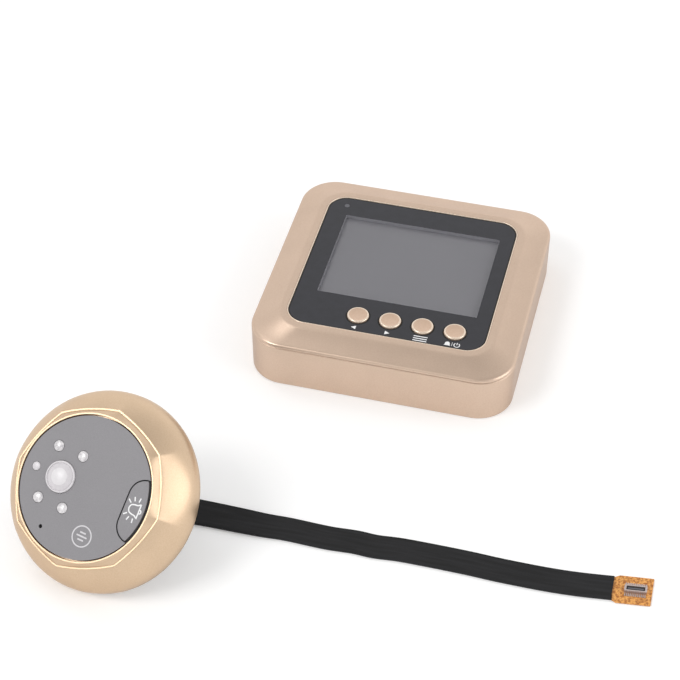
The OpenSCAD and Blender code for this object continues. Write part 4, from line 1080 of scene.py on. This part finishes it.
def bellOutline(b, margin, rim):
    # rounded rectangle grown by the margin; each point beyond the rim circle comes back along its ray
    # from the button's middle m: distance = sqrt((m.ray)^2 - m.m + rim^2) - m.ray
    halfLong, halfWide = b["half"]
    outline = roundedRings([(halfLong, halfWide + margin, b["corner"] + margin, 0)], 24)[0][:, :2]
    outline = outline + (b["left"] - margin + halfLong, 0)
    middle = np.array([b["middle"], 0])
    ray = unitRows(outline - middle)
    inward = ray @ middle
    toRim = np.sqrt(inward ** 2 - middle @ middle + rim ** 2) - inward
    distance = np.minimum(np.linalg.norm(outline - middle, axis=1), toRim)
    return middle + ray * distance[:, None]


def outlineRings(b, rows):
    # bell outline at each row's margin, rim radius and height
    return np.stack([atHeight(bellOutline(b, margin, rim), z) for margin, rim, z in rows])


capRows = [(0, bell["rim"], face - bell["thick"])]
capRows += [(-margin, bell["rim"] - margin, face - depth) for margin, depth in bell["easing"]]
addPiece("bellCap", [(onUnit(outlineRings(bell, capRows)), False)], paintedAbs, "bell_button",
         ["bell_button"])
# black liner under the gap round the cap: painted shade, so that the gap reads black
linerTop, linerLow = (face - depth for depth in bell["liner"])
linerOut = (bell["gap"] - bell["linerPlay"][0], shell["pocket"] - bell["linerPlay"][1])
linerIn = (bell["linerGap"], bell["rim"] + bell["linerGap"])
linerRows = [(*linerOut, linerLow), (*linerOut, linerTop), (*linerIn, linerTop), (*linerIn, linerLow)]
addPiece("bellGapShade", [(onUnit(outlineRings(bell, linerRows)), True)], blackRubberAndGapShade, "outdoor_unit")

faceSigns = {
    "layer": (face - 0.01, face + 0.02),  # underside, top of the print
    "bell": (16.2, 0.1),
    "bellLine": 0.36,
    "bellSide": ((0.0, 1.85), (0.9, 1.5), (1.3, 0.55), (1.42, -0.4), (1.95, -1.2)),  # right half, downwards
    "bellFoot": ((-2.05, -1.25), (0, -1.25), (2.05, -1.25)),
    "clapper": (-1.4, 0.5),  # height of its middle, radius
    "rays": (-8, 22, 52, 128, 158, 188),  # degrees
    "ray": (2.3, 3.5),  # from, to
    "call": (4.72, -12.14),
    "callRadius": 2.8,
    "callLine": 0.36,
    "callBars": ((-1.0, 0.9), (0.0, 1.6), (1.0, 0.9)),  # place across, half length
    "barLine": 0.42,
}


def upright(path, middle):
    # glyph drawn with its top up; on the face up is away from the bell button, towards the lens
    path = np.asarray(path, float)
    return np.column_stack([middle[0] - path[:, 1], middle[1] + path[:, 0]])


def drawn(g, path, line, closed=False):
    # line of ink along a flat path on the face
    return onUnit(strokeRings(path, line, *g["layer"], closed)), closed


def bellSign(g):
    # outline mirrored about its middle, foot, clapper, and rays either side
    side = throughPoints(g["bellSide"], 6)
    clapperY, clapperR = g["clapper"]
    paths = [np.concatenate([(side * (-1, 1))[::-1], side[1:]]), g["bellFoot"],
             arcPath((0, clapperY), clapperR, 180, 360, 12)]
    for angle in np.radians(g["rays"]):
        paths.append([(length * np.cos(angle), length * np.sin(angle)) for length in g["ray"]])
    return [drawn(g, upright(path, g["bell"]), g["bellLine"]) for path in paths]


def callSign(g):
    # ring with three bars
    steps = 60
    ring = arcPath(g["call"], g["callRadius"], 0, 360 - 360 / steps, steps)
    bars = [upright([(x, -half), (x, half)], g["call"]) for x, half in g["callBars"]]
    return [drawn(g, ring, g["callLine"], True), *(drawn(g, bar, g["barLine"]) for bar in bars)]


addPiece("bellPrint", bellSign(faceSigns), whiteInk, "bell_button")
addPiece("callPrint", callSign(faceSigns), greyInk, "outdoor_unit")
print("outdoor unit built")


# CAD nodes that show as they are

looks = {
    "window_panel": blackAcrylic, "display_window": clearAcrylic, "display_foam": greyFoam,
    "display_glass": polariserFilm, "display_backlight": platedSteel, "display_flex": polyimideFilm,
    "main_board": solderMask, "tact_switches": blackNylon, "status_light": smokyAcrylic,
    "speaker": blackNylon, "ribbon_socket": ivoryNylon, "battery_cells": shrinkSleeve,
    "battery_contacts": platedSteel, "battery_door": champagneLacquer, "case_screws": platedSteel,
    "board_screws": platedSteel, "face_plate": paintedAbs, "bell_switch": blackNylon,
    "lens_seal": blackRubberAndGapShade, "lens_barrel": blackNylon, "image_sensor": filterGlass,
    "microphone": platedSteel, "camera_board": solderMask, "board_header": ivoryNylon,
    "back_cover": erodedAbs, "back_screws": platedSteel, "door_gasket": blackFoam,
    "mounting_posts": brass, "ribbon_gland": blackRubberAndGapShade,
}
for nodeName, nodeMaterial in looks.items():
    nodes[nodeName].data.materials.clear()
    nodes[nodeName].data.materials.append(nodeMaterial)
print("CAD nodes dressed:", len(looks))


# floor, surroundings, lights; places and sizes in metres

studio = {
    "towards": (0.96, 1.22, 0.44),  # strength of the soft surroundings to the right, behind and overhead
    "away": (0.95, 0.78, 0.6),  # and to the left, in front and below
    "floorHalf": 0.9,
    "floorHeight": -5e-5,
    "floorFade": (0.35, 0.88),  # from the middle; the floor melts into the surroundings between these
    "floorWhite": 0.86,
    "floorGrain": (0.0025, 0.02),  # size and strength of its faint grain
    "floorGlow": 0.19,  # added where it is seen directly, so that it reads white and keeps its shadow
    "lights": (  # name, place, size, watts
        ("key", (-0.61, -0.57, 0.86), 0.5, 4.25),
        ("left", (-0.47, 0.26, 0.96), 0.25, 0.62),
        ("right", (0.87, -0.12, 0.4), 0.75, 2.9),
    ),
    "aim": (0.0, -0.05, 0.0),
}


def seenDirectly(tree):
    # 1 for camera, mirror and see-through rays, 0 for the soft light between surfaces
    rays = ("Is Camera Ray", "Is Glossy Ray", "Is Transmission Ray")
    seen, mirrored, through = (addNode(tree, "LightPath", give=ray) for ray in rays)
    either = addNode(tree, "Math", {0: seen, 1: mirrored}, operation="ADD")
    return addNode(tree, "Math", {0: either, 1: through}, operation="ADD", use_clamp=True)


def palePaper(s):
    # matt white paper that fades out towards its edge
    material, tree, shader = newMaterial("palePaper")
    tree.nodes.remove(shader)
    place = addNode(tree, "TexCoord", give="Object")
    grainSize, grainStrength = s["floorGrain"]
    grain = addNode(tree, "TexNoise", {"Vector": place, "Scale": 1 / grainSize})
    dark, light = ((white, white, white, 1) for white in (s["floorWhite"], s["floorWhite"] + grainStrength))
    paper = addNode(tree, "Mix", {"Factor": grain, 6: dark, 7: light}, 2, data_type="RGBA")
    matt = addNode(tree, "BsdfDiffuse", {"Color": paper})
    glow = addNode(tree, "Emission", {"Strength": s["floorGlow"]})
    lit = addNode(tree, "AddShader", {0: matt, 1: glow})
    mixed = addNode(tree, "MixShader", {0: seenDirectly(tree), 1: matt, 2: lit})
    reach = addNode(tree, "VectorMath", {0: place}, "Value", operation="LENGTH")
    near, far = s["floorFade"]
    fade = addNode(tree, "MapRange", {"Value": reach, "From Min": near, "From Max": far},
                   interpolation_type="SMOOTHSTEP")
    clear = addNode(tree, "BsdfTransparent")
    melted = addNode(tree, "MixShader", {0: fade, 1: mixed, 2: clear})
    setInputs(tree, tree.nodes["Material Output"], {"Surface": melted})
    return material


def softSurroundings(s):
    # world whose strength is the sum of each axis squared, weighted by the strength on that side
    world = bpy.data.worlds.new("studio")
    world.use_nodes = True
    tree = world.node_tree
    direction = addNode(tree, "TexCoord", give="Generated")
    sums = []
    for operation, weights in (("MAXIMUM", s["towards"]), ("MINIMUM", s["away"])):
        part = addNode(tree, "VectorMath", {0: direction, 1: (0, 0, 0)}, operation=operation)
        square = addNode(tree, "VectorMath", {0: part, 1: part}, operation="MULTIPLY")
        sums.append(addNode(tree, "VectorMath", {0: square, 1: weights}, "Value", operation="DOT_PRODUCT"))
    strength = addNode(tree, "Math", {0: sums[0], 1: sums[1]}, operation="ADD")
    tent = addNode(tree, "Background", {"Color": (1, 1, 1, 1), "Strength": strength})
    setInputs(tree, tree.nodes["World Output"], {"Surface": tent})
    return world


floorHalf, floorHeight = studio["floorHalf"], studio["floorHeight"]
cornerSigns = ((-1, -1), (1, -1), (1, 1), (-1, 1))
floorCorners = [(i * floorHalf, j * floorHalf, floorHeight) for i, j in cornerSigns]
floorMesh = bpy.data.meshes.new("floor")
floorMesh.from_pydata(floorCorners, [], [(0, 1, 2, 3)])
floorMesh.materials.append(palePaper(studio))
floor = bpy.data.objects.new("floor", floorMesh)
scene.collection.objects.link(floor)
scene.world = softSurroundings(studio)
for lightName, place, size, watts in studio["lights"]:
    light = bpy.data.lights.new(lightName, "AREA")
    light.size = size
    light.energy = watts
    lamp = bpy.data.objects.new(lightName, light)
    lamp.location = place
    lamp.rotation_euler = (Vector(studio["aim"]) - Vector(place)).to_track_quat("-Z", "Y").to_euler()
    scene.collection.objects.link(lamp)
print("studio lit")
